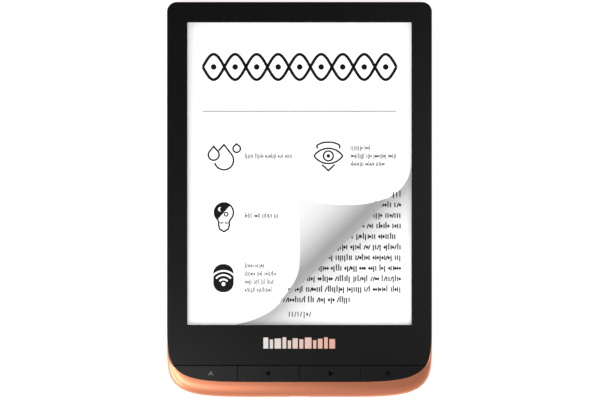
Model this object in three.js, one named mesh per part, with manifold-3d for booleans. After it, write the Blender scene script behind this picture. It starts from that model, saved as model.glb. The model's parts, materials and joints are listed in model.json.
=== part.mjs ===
// A six-inch e-reader lying on its back, as the separate pieces it comes apart into.
// Millimetres. +X is the reader's right, +Y is the top of the page and +Z comes out of the screen.
// The origin is under the middle of the body, on the plane that its flat back rests on.
// A "lift" is a distance up the page from the bottom edge, and up(lift) turns it into a Y.
import * as THREE from "three";
import { mergeVertices } from "three/addons/utils/BufferGeometryUtils.js";
import Module from "manifold-3d";

const wasm = await Module();
wasm.setup();

// Screen window: with what stands round the display, it gives the body's width and height.
const WINDOW_WIDTH = 91.3;
const WINDOW_HEIGHT = 123.2;
const WINDOW_RADIUS = 0.4;
const BODY_DEPTH = 8;

// Outline of the body: round top corners, and superelliptic bottom corners beside a short straight edge.
const TOP_RADIUS = 4;
const BOTTOM_STRAIGHT = 8; // half of the straight middle of the bottom edge
const BOTTOM_CORNER_HEIGHT = 25;
const BOTTOM_CORNER_FULLNESS = 5;

// Rear shell
const SHELL_WALL = 1.4;
const SHELL_FLOOR = 1.2;
const BACK_ROUND_INSET = 5; // the rounded back edge, measured in from the side
const BACK_ROUND_RISE = 3.6; // and up from the back
const CORNER_GROWTH = 0.5; // how much the top corners' radius grows for each millimetre of inset
const CHIN_SKIN = 1.2;
const CHIN_STEP = 0.15; // the copper lies this much lower than the keys beside it
const LIP_TAPER = 7.8; // the chin's tapering ends run out this far above the seam

// Black face: the front frame and, below the seam, the keys
const FACE_REVEAL = 0.25; // width of the rear shell left showing round the face
const FACE_BOTTOM = 6.4; // lift of the face's lower edge
const FACE_STRAIGHT = 4;
const FACE_CORNER_HEIGHT = 31;
const FACE_CORNER_FULLNESS = 5.6;
const FACE_THICKNESS = 0.85;
const FACE_EDGE = 0.35; // rounding of the front edge
const POCKET_GAP = 0.12; // between the face and the chin
const SKIRT_GAP = 0.2; // between the frame's skirt and the shell's wall
const SKIRT_WALL = 1;
const CLIP_LENGTH = 6;
const CLIP_DEPTH = 0.5;
const CLIP_HEIGHT = 0.8;
const CLIP_GAP = 0.2;

// Keys
const SEAM_LIFT = 13.2;
const SEAM_GAP = 0.24;
const KEY_GAP = 0.22; // between neighbouring keys
const KEY_SEAM = 25.1; // the outer seams, from the middle
const KEY_FALL = 0.55; // how far the strip slopes down from the seam to the chin
const KEY_TRAVEL = 0.3;
const STOP_GAP = 0.05; // left under a key or button at the end of its travel
const KEY_CENTRE = 12.8; // inner keys' plungers, from the middle
const END_KEY_INSET = 17.9; // outer keys' plungers, from the body's side
const PLUNGER_DROP = 3.3; // plungers below the seam
const PLUNGER_WIDTH = 5;
const PLUNGER_LENGTH = 2.4;
const PLUNGER_GAP = 0.35;
const SHELF_THICKNESS = 0.6;
const SHELF_ABOVE_SWITCH = 0.45;
const ICON_SIZE = 1;
const ICON_DEPTH = 0.25;
const SWITCH_WIDTH = 3.4;
const SWITCH_BODY = 0.55;
const SWITCH_DOME = 0.25;
const DOME_RADIUS = 0.9;

// Display stack, from the front towards the back
const STACK_GAP = 0.05;
const GASKET_THICKNESS = 0.1;
const GASKET_MARGIN = 0.5; // gasket's hole beyond the window
const GASKET_BORDER = 3.4;
const TOUCH_THICKNESS = 0.5;
const GUIDE_THICKNESS = 0.5;
const PANEL_THICKNESS = 1.1;
const PANEL_SIDE = 5.25; // panel beyond the window, at each side
const PANEL_HEAD = 2.2; // above it
const PANEL_FOOT = 13; // and below it, where the driver chip is
const PANEL_GAP = 0.5; // between the panel and the skirt, at each side
const PANEL_HEAD_ROOM = 3.6; // above the panel, where the upper bosses stand
const TOUCH_INSET = 0.4;
const GUIDE_SIDE = 2.5;
const GUIDE_HEAD = 1.4;
const GUIDE_FOOT = 4.2;
const LAMP_COUNT = 9;
const LAMP_WIDTH = 3;
const LAMP_DEPTH = 1.2;
const LAMP_STRIP = 0.15;
const LAMP_MARGIN = 2; // from the strip's end to the outermost lamp
const FLEX_THICKNESS = 0.12;
const FLEX_RADIUS = 0.5;
const DISPLAY_FLEX_WIDTH = 22;
const TOUCH_FLEX_WIDTH = 8;
const TOUCH_FLEX_X = 33;
const FLEX_BEND = 1.08; // the flat tails turn back this far above the cross wall

// Mid frame and boards
const FRAME_THICKNESS = 0.6;
const FRAME_GAP = 0.4; // to the shell's wall
const FRAME_OVERHANG = 0.32; // its lower edge reaches this far under the cross wall
const BOARD_THICKNESS = 0.8;
const BOARD_FOOT = 4.6;
const BOARD_HEAD = 56;
const BOARD_SHOULDER = 4; // above the lower bosses
const BOARD_SIDE = 7; // from the body's side, above the shoulder
const BOARD_TAPER = 12; // and below it
const BOARD_SCREW_HIGH = 52;
const BOARD_SCREW_LOW = 27;
const BOARD_SCREW_X = 24; // lower screws, from the middle
const NOTCH_GAP = 0.3;
const TAIL_OPENING = 2; // the frame's openings reach this far beyond the flat tails, at each side
const CONNECTOR_HEIGHT = 0.55;
const CONNECTOR_DEPTH = 3.5;
const CONNECTOR_RISE = 3.8; // above the panel's lower edge
const CAN_WALL = 0.2;
const CAN_HEIGHT = 1.35;

// Battery
const BATTERY_SIDE = 22; // from the body's side
const BATTERY_TOP = 10; // from the body's top
const BATTERY_GAP = 0.25;
const TAPE_THICKNESS = 0.15;
const TAPE_WIDTH_SHARE = 0.8; // of the cell's width and length
const TAPE_LENGTH_SHARE = 0.8;
const WIRE_RADIUS = 0.4;
const WIRE_SHIFT = 2; // from the connector's middle
const WIRE_DEPTH = 0.9; // wires and battery board, behind the main board's back
const BATTERY_BOARD_LENGTH = 3;
const BATTERY_BOARD_WIDTH = 28;
const BATTERY_PLUG = [14, 52]; // the battery's connector on the board: X and lift
const BATTERY_PLUG_LENGTH = 4;
const ANTENNA_WIDTH = 7;
const ANTENNA_LENGTH = 26;
const ANTENNA_INSET = 12; // from the body's side
const ANTENNA_LIFT = 74;
const POUCH_EDGE = 0.6; // bevel round the cell
const POUCH_RADIUS = 1.2;

// Bottom edge: what stands in the shell's lower wall
const SOCKET_WIDTH = 7.5;
const SOCKET_HEIGHT = 2.45;
const SOCKET_LENGTH = 5.4;
const SOCKET_WALL = 0.25;
const SOCKET_LIFT = 0.9;
const SOCKET_BEVEL = 0.7;
const TONGUE_WIDTH = 3.7;
const TONGUE_THICKNESS = 0.6;
const TONGUE_LENGTH = 3.4;
const MOUTH_GAP = 0.3;
const BUTTON_X = 16.5;
const BUTTON_WIDTH = 9;
const BUTTON_HEIGHT = 1.6;
const BUTTON_GAP = 0.15;
const BUTTON_RECESS = 0.12;
const BUTTON_FLANGE = 0.8; // the flange is this much wider than the cap, at each end
const BUTTON_CATCH = 0.5; // between the wall and the flange behind it
const BUTTON_FLANGE_THICKNESS = 0.5;
const BUTTON_TRAVEL = 0.3;
const STEM_WIDTH = 3;
const STEM_HEIGHT = 1.2;
const STEM_LENGTH = 0.4;
const POWER_SWITCH_WIDTH = 6;
const POWER_SWITCH_HEIGHT = 1.6;
const POWER_SWITCH_BACK = 6.4; // its back, from the bottom edge
const NUB_WIDTH = 2.4;
const NUB_HEIGHT = 1;
const NUB_LENGTH = 0.6;
const PIPE_X = 24.5;
const PIPE_RADIUS = 0.55;
const PIPE_GAP = 0.1;
const RESET_X = -10;
const RESET_RADIUS = 0.45;
const EDGE_PART_LIFT = 3.4; // lamp and reset switch, mounted on the board's edge
const STATUS_LAMP_WIDTH = 1.6;
const STATUS_LAMP_HEIGHT = 0.8;
const RESET_SWITCH_WIDTH = 3;
const RESET_SWITCH_HEIGHT = 1.2;

// Screws
const SCREW_RADIUS = 0.5;
const SCREW_HEAD_RADIUS = 1.1;
const SCREW_HEAD = 0.5;
const CROSS_LENGTH = 1.32;
const CROSS_WIDTH = 0.4;
const CROSS_DEPTH = 0.3;
const SCREW_GAP = 0.3;
const BOSS_RADIUS = 1.5;
const BOSS_BITE = 0.8; // how far a boss stands into the wall beside it
const BOSS_GAP = 0.18; // between the lower bosses and the panel
const BOSS_INSET = 10; // outer bosses, from the body's side
const BOSS_BESIDE_TAIL = 20; // the lower middle boss, to the right of the display's flat tail
const FACETS = 12;

// Heights of the layers, worked down from the front.
const faceBack = BODY_DEPTH - FACE_THICKNESS;
const faceMiddle = BODY_DEPTH - FACE_THICKNESS / 2; // what joins the face plate reaches in to here
const gasketBack = faceBack - STACK_GAP - GASKET_THICKNESS;
const touchBack = gasketBack - STACK_GAP - TOUCH_THICKNESS;
const guideBack = touchBack - STACK_GAP - GUIDE_THICKNESS;
const panelBack = guideBack - STACK_GAP - PANEL_THICKNESS;
const skirtFoot = panelBack;
const frameFront = panelBack - 2 * STACK_GAP;
const frameBack = frameFront - FRAME_THICKNESS;
const boardFront = frameBack - STACK_GAP;
const boardBack = boardFront - BOARD_THICKNESS;
const boardMiddle = (boardFront + boardBack) / 2;
const switchTop = boardFront + STACK_GAP + SWITCH_BODY + SWITCH_DOME;
const plungerFoot = switchTop + KEY_TRAVEL + STOP_GAP;
const shelfBack = switchTop + SHELF_ABOVE_SWITCH;
const shelfFront = shelfBack + SHELF_THICKNESS;
const keyBack = shelfFront + KEY_TRAVEL + STOP_GAP;
const rimTop = faceBack - STACK_GAP;

// Lifts, worked up from the key strip through the display to the top edge, then the width from the
// display outwards.
const seamFoot = SEAM_LIFT - SEAM_GAP / 2;
const seamHead = SEAM_LIFT + SEAM_GAP / 2;
const lipEnd = SEAM_LIFT + LIP_TAPER;
const plungerLift = SEAM_LIFT - PLUNGER_DROP;
const crossWallHead = seamHead + SKIRT_WALL;
const lowerBosses = crossWallHead + BOSS_RADIUS - BOSS_BITE;
const frameFoot = crossWallHead - FRAME_OVERHANG;
const flexBend = crossWallHead + FLEX_BEND;
const boardShoulder = lowerBosses + BOARD_SHOULDER;
const panelFootLift = lowerBosses + BOSS_RADIUS + BOSS_GAP;
const connectorLift = panelFootLift + CONNECTOR_RISE;
const windowFoot = panelFootLift + PANEL_FOOT;
const windowHead = windowFoot + WINDOW_HEIGHT;
const windowMiddle = windowFoot + WINDOW_HEIGHT / 2;
const skirtDepth = SHELL_WALL + SKIRT_GAP + SKIRT_WALL; // from the outside to the skirt's inner face
const bodyHeight = windowHead + PANEL_HEAD + PANEL_HEAD_ROOM + skirtDepth;
const upperBosses = bodyHeight - skirtDepth - BOSS_RADIUS + BOSS_BITE;
const halfWidth = WINDOW_WIDTH / 2 + PANEL_SIDE + PANEL_GAP + skirtDepth;
const endKey = halfWidth - END_KEY_INSET;
const up = (lift) => lift - bodyHeight / 2;

// Finishes
const finish = (color, roughness, metalness) =>
  new THREE.MeshStandardMaterial({ color, roughness, metalness });
const satinBlack = finish(0x1e1e1f, 0.42, 0);
const keyBlack = finish(0x29292a, 0.38, 0);
const copper = finish(0xb9744f, 0.32, 0.75);
const paper = finish(0xf2f2ef, 0.85, 0);
const clearFilm = finish(0xdfe6ea, 0.1, 0);
const darkFilm = finish(0x2b2d30, 0.6, 0);
const amberFilm = finish(0xb0702a, 0.5, 0);
const magnesium = finish(0x9a9ca0, 0.5, 0.8);
const boardGreen = finish(0x1d5a3a, 0.5, 0);
const chipBlack = finish(0x17181a, 0.55, 0);
const tinned = finish(0xc4c7ca, 0.35, 0.9);
const foil = finish(0xb8bcc2, 0.4, 0.6);
const ivory = finish(0xe9e4d2, 0.6, 0);

// Where a piece goes by itself; nested groups hold what is mounted together.
const reader = new THREE.Group();
const display = new THREE.Group();
const electronics = new THREE.Group();
const battery = new THREE.Group();
const bottomEdge = new THREE.Group();
electronics.position.z = boardBack;
bottomEdge.position.set(0, up(0), boardMiddle);
reader.add(display, electronics, battery, bottomEdge);

// ---- solids ----

// A closed geometry as a solid that can be joined and cut.
function solid(geometry) {
  const bare = geometry.clone();
  bare.deleteAttribute("normal");
  bare.deleteAttribute("uv");
  const merged = mergeVertices(bare, 1e-4);
  const vertProperties = merged.attributes.position.array;
  const triVerts = new Uint32Array(merged.index.array);
  return new wasm.Manifold(new wasm.Mesh({ numProp: 3, vertProperties, triVerts }));
}

// Adds a solid or a geometry to a group as one named piece.
function piece(group, name, shape, material) {
  let geometry = shape;
  if (!shape.isBufferGeometry) {
    const made = shape.getMesh();
    geometry = new THREE.BufferGeometry();
    geometry.setAttribute("position", new THREE.BufferAttribute(made.vertProperties, 3));
    geometry.setIndex(new THREE.BufferAttribute(made.triVerts, 1));
    geometry.computeVertexNormals();
  }
  const mesh = new THREE.Mesh(geometry, material);
  mesh.name = name;
  group.add(mesh);
  return mesh;
}

// A box between two corners.
function block(x0, x1, y0, y1, z0, z1) {
  const box = new THREE.BoxGeometry(x1 - x0, y1 - y0, z1 - z0);
  return box.translate((x0 + x1) / 2, (y0 + y1) / 2, (z0 + z1) / 2);
}

// An outline in XY, carried from one height to another.
function prism(points, z0, z1) {
  const shape = new THREE.Shape(points);
  return new THREE.ExtrudeGeometry(shape, { depth: z1 - z0, bevelEnabled: false }).translate(0, 0, z0);
}

// A profile of (lift, height) points, carried across the body from x0 to x1.
function across(profile, x0, x1) {
  const shape = new THREE.Shape(profile.map(([lift, z]) => new THREE.Vector2(up(lift), z)));
  const made = new THREE.ExtrudeGeometry(shape, { depth: x1 - x0, bevelEnabled: false });
  const turn = new THREE.Matrix4().makeBasis(
    new THREE.Vector3(0, 1, 0),
    new THREE.Vector3(0, 0, 1),
    new THREE.Vector3(1, 0, 0),
  );
  return made.applyMatrix4(turn).translate(x0, 0, 0);
}

// A cylinder along Z or, lying, along Y.
function rod(radius, x, y, z0, z1) {
  const made = new THREE.CylinderGeometry(radius, radius, z1 - z0, FACETS).rotateX(Math.PI / 2);
  return made.translate(x, y, (z0 + z1) / 2);
}
function lyingRod(radius, x, y0, y1) {
  return new THREE.CylinderGeometry(radius, radius, y1 - y0, FACETS).translate(x, (y0 + y1) / 2, 0);
}

// Joins rings of equal point counts, each [points, z], into one closed skin with flat ends.
function loft(rings) {
  const count = rings[0][0].length;
  const positions = rings.flatMap(([points, z]) => points.flatMap((p) => [p.x, p.y, z]));
  const index = [];
  for (let ring = 0; ring + 1 < rings.length; ring += 1) {
    for (let i = 0; i < count; i += 1) {
      const a = ring * count + i;
      const b = ring * count + ((i + 1) % count);
      index.push(a, b, b + count, a, b + count, a + count);
    }
  }
  const last = (rings.length - 1) * count;
  THREE.ShapeUtils.triangulateShape(rings[0][0], []).forEach(([a, b, c]) => index.push(c, b, a));
  THREE.ShapeUtils.triangulateShape(rings[rings.length - 1][0], []).forEach(([a, b, c]) =>
    index.push(a + last, b + last, c + last),
  );
  const made = new THREE.BufferGeometry();
  made.setAttribute("position", new THREE.Float32BufferAttribute(positions, 3));
  made.setIndex(index);
  return made;
}

// ---- outlines ----

const TOP_STEPS = 6;
const BOTTOM_STEPS = 20;

// The reader's outline, run round anticlockwise from the bottom left: two superelliptic corners, where
// |x/width|^n + |y/height|^n = 1, then two arcs of a circle.
function outline({ half, foot, head, radius, straight, cornerHeight, fullness }) {
  const width = half - straight;
  const points = [];
  const lowerCorner = (side, angle) => {
    const x = side * (straight + width * Math.cos(angle) ** (2 / fullness));
    const y = foot + cornerHeight * (1 - Math.sin(angle) ** (2 / fullness));
    points.push(new THREE.Vector2(x, up(y)));
  };
  const upperCorner = (side, angle) => {
    const x = side * (half - radius + radius * Math.cos(angle));
    const y = head - radius + radius * Math.sin(angle);
    points.push(new THREE.Vector2(x, up(y)));
  };
  const quarter = (i, steps) => (Math.PI / 2) * (i / steps);
  for (let i = 0; i <= BOTTOM_STEPS; i += 1) lowerCorner(1, quarter(BOTTOM_STEPS - i, BOTTOM_STEPS));
  for (let i = 0; i <= TOP_STEPS; i += 1) upperCorner(1, quarter(i, TOP_STEPS));
  for (let i = 0; i <= TOP_STEPS; i += 1) upperCorner(-1, quarter(TOP_STEPS - i, TOP_STEPS));
  for (let i = 0; i <= BOTTOM_STEPS; i += 1) lowerCorner(-1, quarter(i, BOTTOM_STEPS));
  return points;
}

const bodyOutline = (inset) =>
  outline({
    half: halfWidth - inset,
    foot: inset,
    head: bodyHeight - inset,
    radius: TOP_RADIUS + CORNER_GROWTH * inset,
    straight: BOTTOM_STRAIGHT,
    cornerHeight: BOTTOM_CORNER_HEIGHT,
    fullness: BOTTOM_CORNER_FULLNESS,
  });

const faceOutline = (inset) =>
  outline({
    half: halfWidth - FACE_REVEAL - inset,
    foot: FACE_BOTTOM + inset,
    head: bodyHeight - FACE_REVEAL - inset,
    radius: TOP_RADIUS - FACE_REVEAL,
    straight: FACE_STRAIGHT,
    cornerHeight: FACE_CORNER_HEIGHT,
    fullness: FACE_CORNER_FULLNESS,
  });

// A rectangle with round corners, by its middle and size.
function roundedRectangle(x, y, width, height, radius) {
  const points = [];
  const corners = [
    [1, -1, -0.5],
    [1, 1, 0],
    [-1, 1, 0.5],
    [-1, -1, 1],
  ];
  for (const [sideX, sideY, start] of corners) {
    for (let i = 0; i <= 3; i += 1) {
      const angle = Math.PI * (start + i / 6);
      const px = x + sideX * (width / 2 - radius) + radius * Math.cos(angle);
      const py = y + sideY * (height / 2 - radius) + radius * Math.sin(angle);
      points.push(new THREE.Vector2(px, py));
    }
  }
  return points;
}

// Height of the key strip's surface: level with the face at the seam, lower at the chin.
const keySurface = (lift) => BODY_DEPTH - (KEY_FALL * (SEAM_LIFT - lift)) / (SEAM_LIFT - FACE_BOTTOM);

// The chin's front, from the bottom edge up to the face: a quarter of an ellipse, lowered by `drop`.
const CHIN_STEPS = 10;
function chinProfile(drop) {
  const top = keySurface(FACE_BOTTOM) - CHIN_STEP;
  const points = [];
  for (let i = 0; i <= CHIN_STEPS; i += 1) {
    const angle = (Math.PI / 2) * (i / CHIN_STEPS);
    const lift = FACE_BOTTOM * (1 - Math.cos(angle));
    const z = BACK_ROUND_RISE + (top - BACK_ROUND_RISE) * Math.sin(angle);
    points.push([lift, z - drop]);
  }
  return points;
}

// ---- rear shell ----

// The rounded back edge is a quarter of an ellipse; above it the side is upright.
const BACK_STEPS = 6;
function shellBody(wall, floor) {
  const rings = [];
  for (let i = 0; i <= BACK_STEPS; i += 1) {
    const angle = (Math.PI / 2) * (i / BACK_STEPS);
    const inset = BACK_ROUND_INSET * (1 - Math.sin(angle));
    const z = floor + (BACK_ROUND_RISE - floor) * (1 - Math.cos(angle));
    rings.push([bodyOutline(inset + wall), z]);
  }
  rings.push([bodyOutline(wall), BODY_DEPTH + 1]);
  return solid(loft(rings));
}

// Everything under the front surface: the chin, the ends of the lip, then the rim that the face covers.
function underFront(drop, rim) {
  const lipTop = keySurface(SEAM_LIFT) - CHIN_STEP - drop;
  const profile = [
    [-1, -1],
    [-1, BACK_ROUND_RISE - drop],
    ...chinProfile(drop),
    [SEAM_LIFT, lipTop],
    [lipEnd, rim],
    [bodyHeight + 1, rim],
    [bodyHeight + 1, -1],
  ];
  return solid(across(profile.reverse(), -halfWidth - 1, halfWidth + 1));
}

// Clips along the frame's skirt and the slots for them in the shell's wall.
const CLIP_ROWS = 4;
const CLIP_FIRST = 36;
const CLIP_END = 17; // last row, from the body's top
const CLIP_ACROSS = [-25, 25];
const clipPitch = (bodyHeight - CLIP_END - CLIP_FIRST) / (CLIP_ROWS - 1);
const clipLifts = Array.from({ length: CLIP_ROWS }, (_, row) => CLIP_FIRST + row * clipPitch);
const clipFoot = skirtFoot + 0.3;
function clips(reach, gap) {
  const made = [];
  const half = CLIP_LENGTH / 2 + gap;
  const outer = SHELL_WALL + SKIRT_GAP - reach;
  const inner = SHELL_WALL + SKIRT_GAP + SKIRT_WALL / 2;
  const foot = clipFoot - gap;
  const head = clipFoot + CLIP_HEIGHT + gap;
  for (const lift of clipLifts) {
    const [low, high] = [up(lift) - half, up(lift) + half];
    made.push(solid(block(halfWidth - inner, halfWidth - outer, low, high, foot, head)));
    made.push(solid(block(outer - halfWidth, inner - halfWidth, low, high, foot, head)));
  }
  for (const x of CLIP_ACROSS) {
    const [low, high] = [up(bodyHeight - inner), up(bodyHeight - outer)];
    made.push(solid(block(x - half, x + half, low, high, foot, head)));
  }
  return made;
}

// The D-shaped mouth or shell of the socket, in the XZ plane, from one lift to another.
function socketPrism(width, height, bevel, y0, y1) {
  const points = [
    [-width / 2, height / 2],
    [-width / 2, bevel - height / 2],
    [bevel - width / 2, -height / 2],
    [width / 2 - bevel, -height / 2],
    [width / 2, bevel - height / 2],
    [width / 2, height / 2],
  ];
  const shape = new THREE.Shape(points.map(([x, z]) => new THREE.Vector2(x, z)));
  const made = new THREE.ExtrudeGeometry(shape, { depth: y1 - y0, bevelEnabled: false });
  return made.rotateX(Math.PI / 2).translate(0, y1, 0);
}

// What the bottom wall is cut by, in the bottom edge's own frame.
const WALL_CUT = 2.6;
function bottomCuts() {
  const mouthWidth = SOCKET_WIDTH + 2 * MOUTH_GAP;
  const mouthHeight = SOCKET_HEIGHT + 2 * MOUTH_GAP;
  const buttonHalf = BUTTON_WIDTH / 2 + BUTTON_GAP;
  const buttonRise = BUTTON_HEIGHT / 2 + BUTTON_GAP;
  const cuts = [
    socketPrism(mouthWidth, mouthHeight, SOCKET_BEVEL, -1, WALL_CUT),
    block(BUTTON_X - buttonHalf, BUTTON_X + buttonHalf, -1, WALL_CUT, -buttonRise, buttonRise),
    lyingRod(PIPE_RADIUS + PIPE_GAP, PIPE_X, -1, WALL_CUT),
    lyingRod(RESET_RADIUS, RESET_X, -1, WALL_CUT),
  ];
  return cuts.map((cut) => solid(cut.translate(0, up(0), boardMiddle)));
}

let shell = shellBody(0, 0).intersect(underFront(0, rimTop));
const roomTop = BODY_DEPTH + 2;
const room = shellBody(SHELL_WALL, SHELL_FLOOR).intersect(underFront(CHIN_SKIN, roomTop));
const pocket = solid(prism(faceOutline(-POCKET_GAP), shelfFront, roomTop)).intersect(
  solid(block(-halfWidth, halfWidth, up(0), up(lipEnd + 1), shelfFront, roomTop)),
);
shell = shell.subtract(room).subtract(pocket);
for (const slot of clips(CLIP_DEPTH + CLIP_GAP, CLIP_GAP)) shell = shell.subtract(slot);
for (const cut of bottomCuts()) shell = shell.subtract(cut);
piece(reader, "rear_shell", shell, copper);

// ---- front frame ----

// Screws that hold the mid frame to the front frame, and the bosses they go into.
const bossRow = halfWidth - BOSS_INSET;
const frameScrews = [
  [-bossRow, upperBosses],
  [0, upperBosses],
  [bossRow, upperBosses],
  [-bossRow, lowerBosses],
  [BOSS_BESIDE_TAIL, lowerBosses],
  [bossRow, lowerBosses],
];

// The face's front edge is a quarter circle.
const EDGE_STEPS = 3;
function facePlate() {
  const rings = [[faceOutline(0), faceBack]];
  for (let i = 0; i <= EDGE_STEPS; i += 1) {
    const angle = (Math.PI / 2) * (i / EDGE_STEPS);
    rings.push([
      faceOutline(FACE_EDGE * (1 - Math.cos(angle))),
      BODY_DEPTH - FACE_EDGE * (1 - Math.sin(angle)),
    ]);
  }
  return solid(loft(rings));
}

// The skirt runs down inside the shell's wall; its foot end stays inside the face's own outline.
function skirt() {
  const outer = bodyOutline(SHELL_WALL + SKIRT_GAP);
  const inner = bodyOutline(SHELL_WALL + SKIRT_GAP + SKIRT_WALL);
  const low = skirtFoot;
  const high = faceMiddle;
  const ring = solid(prism(outer, low, high)).subtract(solid(prism(inner, low - 1, high + 1)));
  return ring.intersect(solid(prism(faceOutline(POCKET_GAP), low - 1, high + 1)));
}

const aboveSeam = solid(
  block(-halfWidth, halfWidth, up(seamHead), up(bodyHeight), 0, BODY_DEPTH + 1),
);
const windowOpening = roundedRectangle(0, up(windowMiddle), WINDOW_WIDTH, WINDOW_HEIGHT, WINDOW_RADIUS);
const withinShell = solid(prism(faceOutline(SKIRT_GAP), 0, BODY_DEPTH + 1)).intersect(
  solid(prism(bodyOutline(SHELL_WALL + SKIRT_GAP), -1, BODY_DEPTH + 2)),
);
const shelf = solid(
  block(-halfWidth, halfWidth, up(FACE_BOTTOM), up(crossWallHead), shelfBack, shelfFront),
).intersect(withinShell);
const crossWall = solid(
  block(-halfWidth, halfWidth, up(seamHead), up(crossWallHead), shelfBack, faceMiddle),
).intersect(withinShell);

let frontFrame = facePlate().add(skirt()).intersect(aboveSeam);
frontFrame = frontFrame.add(shelf).add(crossWall);
for (const [x, lift] of frameScrews) {
  frontFrame = frontFrame.add(solid(rod(BOSS_RADIUS, x, up(lift), skirtFoot, faceMiddle)));
}
for (const [x, lift] of frameScrews) {
  const hole = rod(SCREW_RADIUS + SCREW_GAP, x, up(lift), skirtFoot - 1, faceBack - SCREW_GAP);
  frontFrame = frontFrame.subtract(solid(hole));
}
for (const clip of clips(CLIP_DEPTH, 0)) frontFrame = frontFrame.add(clip);
frontFrame = frontFrame.subtract(solid(prism(windowOpening, skirtFoot, BODY_DEPTH + 1)));

// ---- keys ----

// A key's mark is a shallow sunk shape about 2 mm across.
const starPoints = (count, outer, inner) =>
  Array.from({ length: 2 * count }, (_, i) => {
    const radius = i % 2 ? inner : outer;
    const angle = (Math.PI * i) / count;
    return [radius * Math.cos(angle), radius * Math.sin(angle)];
  });
const HOUSE = [
  [-1, -0.1],
  [-0.6, -0.1],
  [-0.6, -0.9],
  [0.6, -0.9],
  [0.6, -0.1],
  [1, -0.1],
  [0, 0.9],
];
const BACKWARD = [
  [-1, 0],
  [0.7, -0.9],
  [0.7, 0.9],
];
const FORWARD = BACKWARD.map(([x, y]) => [-x, y]).reverse();
const keys = [
  ["home", -halfWidth, -KEY_SEAM, -endKey, HOUSE],
  ["back", -KEY_SEAM, 0, -KEY_CENTRE, BACKWARD],
  ["forward", 0, KEY_SEAM, KEY_CENTRE, FORWARD],
  ["menu", KEY_SEAM, halfWidth, endKey, starPoints(7, 1, 0.7)],
];

const stripProfile = [
  [0, keyBack],
  [seamFoot, keyBack],
  [seamFoot, keySurface(seamFoot)],
  [0, keySurface(0)],
];
const strip = solid(across(stripProfile, -halfWidth, halfWidth)).intersect(
  solid(prism(faceOutline(0), keyBack, BODY_DEPTH)),
);
const plungerRow = up(plungerLift);

// A rectangle round a key's plunger, grown by a gap.
function aroundPlunger(x, gap, z0, z1) {
  const halfX = PLUNGER_WIDTH / 2 + gap;
  const halfY = PLUNGER_LENGTH / 2 + gap;
  return solid(block(x - halfX, x + halfX, plungerRow - halfY, plungerRow + halfY, z0, z1));
}

for (const [name, left, right, x, icon] of keys) {
  const room = solid(
    block(left + KEY_GAP / 2, right - KEY_GAP / 2, up(0), up(SEAM_LIFT), keyBack, BODY_DEPTH),
  );
  const points = icon.map(
    ([px, py]) => new THREE.Vector2(x + ICON_SIZE * px, plungerRow + ICON_SIZE * py),
  );
  const mark = solid(prism(points, keySurface(plungerLift) - ICON_DEPTH, BODY_DEPTH + 1));
  const cap = strip.intersect(room).add(aroundPlunger(x, 0, plungerFoot, keyBack + STACK_GAP));
  piece(reader, name + "_key", cap.subtract(mark), keyBlack);
  frontFrame = frontFrame.subtract(aroundPlunger(x, PLUNGER_GAP, shelfBack - 1, keyBack));

  const foot = boardFront + STACK_GAP;
  const half = SWITCH_WIDTH / 2;
  const body = solid(
    block(x - half, x + half, plungerRow - half, plungerRow + half, foot, foot + SWITCH_BODY),
  );
  const dome = solid(rod(DOME_RADIUS, x, plungerRow, foot + SWITCH_BODY / 2, switchTop));
  piece(reader, name + "_switch", body.add(dome), tinned);
}
piece(reader, "front_frame", frontFrame, satinBlack);

// ---- display stack ----

const windowHalf = WINDOW_WIDTH / 2;

// A flat layer of the stack: how far it goes beyond the window at the sides, top and bottom.
function layer(side, head, foot, back, thickness) {
  const [x, top, bottom] = [windowHalf + side, up(windowHead + head), up(windowFoot - foot)];
  return block(-x, x, bottom, top, back, back + thickness);
}

const gasketHole = layer(
  GASKET_MARGIN,
  GASKET_MARGIN,
  GASKET_MARGIN,
  gasketBack - GASKET_THICKNESS,
  3 * GASKET_THICKNESS,
);
const gasketSheet = layer(
  PANEL_SIDE - TOUCH_INSET,
  PANEL_HEAD - TOUCH_INSET,
  GASKET_MARGIN + GASKET_BORDER,
  gasketBack,
  GASKET_THICKNESS,
);
const touchSheet = layer(
  PANEL_SIDE - TOUCH_INSET,
  PANEL_HEAD - TOUCH_INSET,
  PANEL_FOOT - TOUCH_INSET,
  touchBack,
  TOUCH_THICKNESS,
);
piece(display, "display_gasket", solid(gasketSheet).subtract(solid(gasketHole)), darkFilm);
piece(display, "touch_panel", touchSheet, clearFilm);
const guideSheet = layer(GUIDE_SIDE, GUIDE_HEAD, GUIDE_FOOT, guideBack, GUIDE_THICKNESS);
piece(display, "light_guide", guideSheet, clearFilm);
const panelSheet = layer(PANEL_SIDE, PANEL_HEAD, PANEL_FOOT, panelBack, PANEL_THICKNESS);
piece(display, "eink_panel", panelSheet, paper);

// White lamps in a row on a thin strip, shining up into the light guide's lower edge.
const lampHead = windowFoot - GUIDE_FOOT - 2 * STACK_GAP;
const stripHalf = windowHalf + GUIDE_SIDE;
let lightBar = solid(
  block(
    -stripHalf,
    stripHalf,
    up(lampHead - 2 * LAMP_DEPTH),
    up(lampHead),
    guideBack,
    guideBack + LAMP_STRIP,
  ),
);
for (let i = 0; i < LAMP_COUNT; i += 1) {
  const reach = stripHalf - LAMP_MARGIN - LAMP_WIDTH / 2;
  const x = -reach + (2 * reach * i) / (LAMP_COUNT - 1);
  const lamp = block(
    x - LAMP_WIDTH / 2,
    x + LAMP_WIDTH / 2,
    up(lampHead - LAMP_DEPTH),
    up(lampHead),
    guideBack + LAMP_STRIP / 2,
    guideBack + GUIDE_THICKNESS,
  );
  lightBar = lightBar.add(solid(lamp));
}
piece(display, "light_bar", lightBar, ivory);

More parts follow.
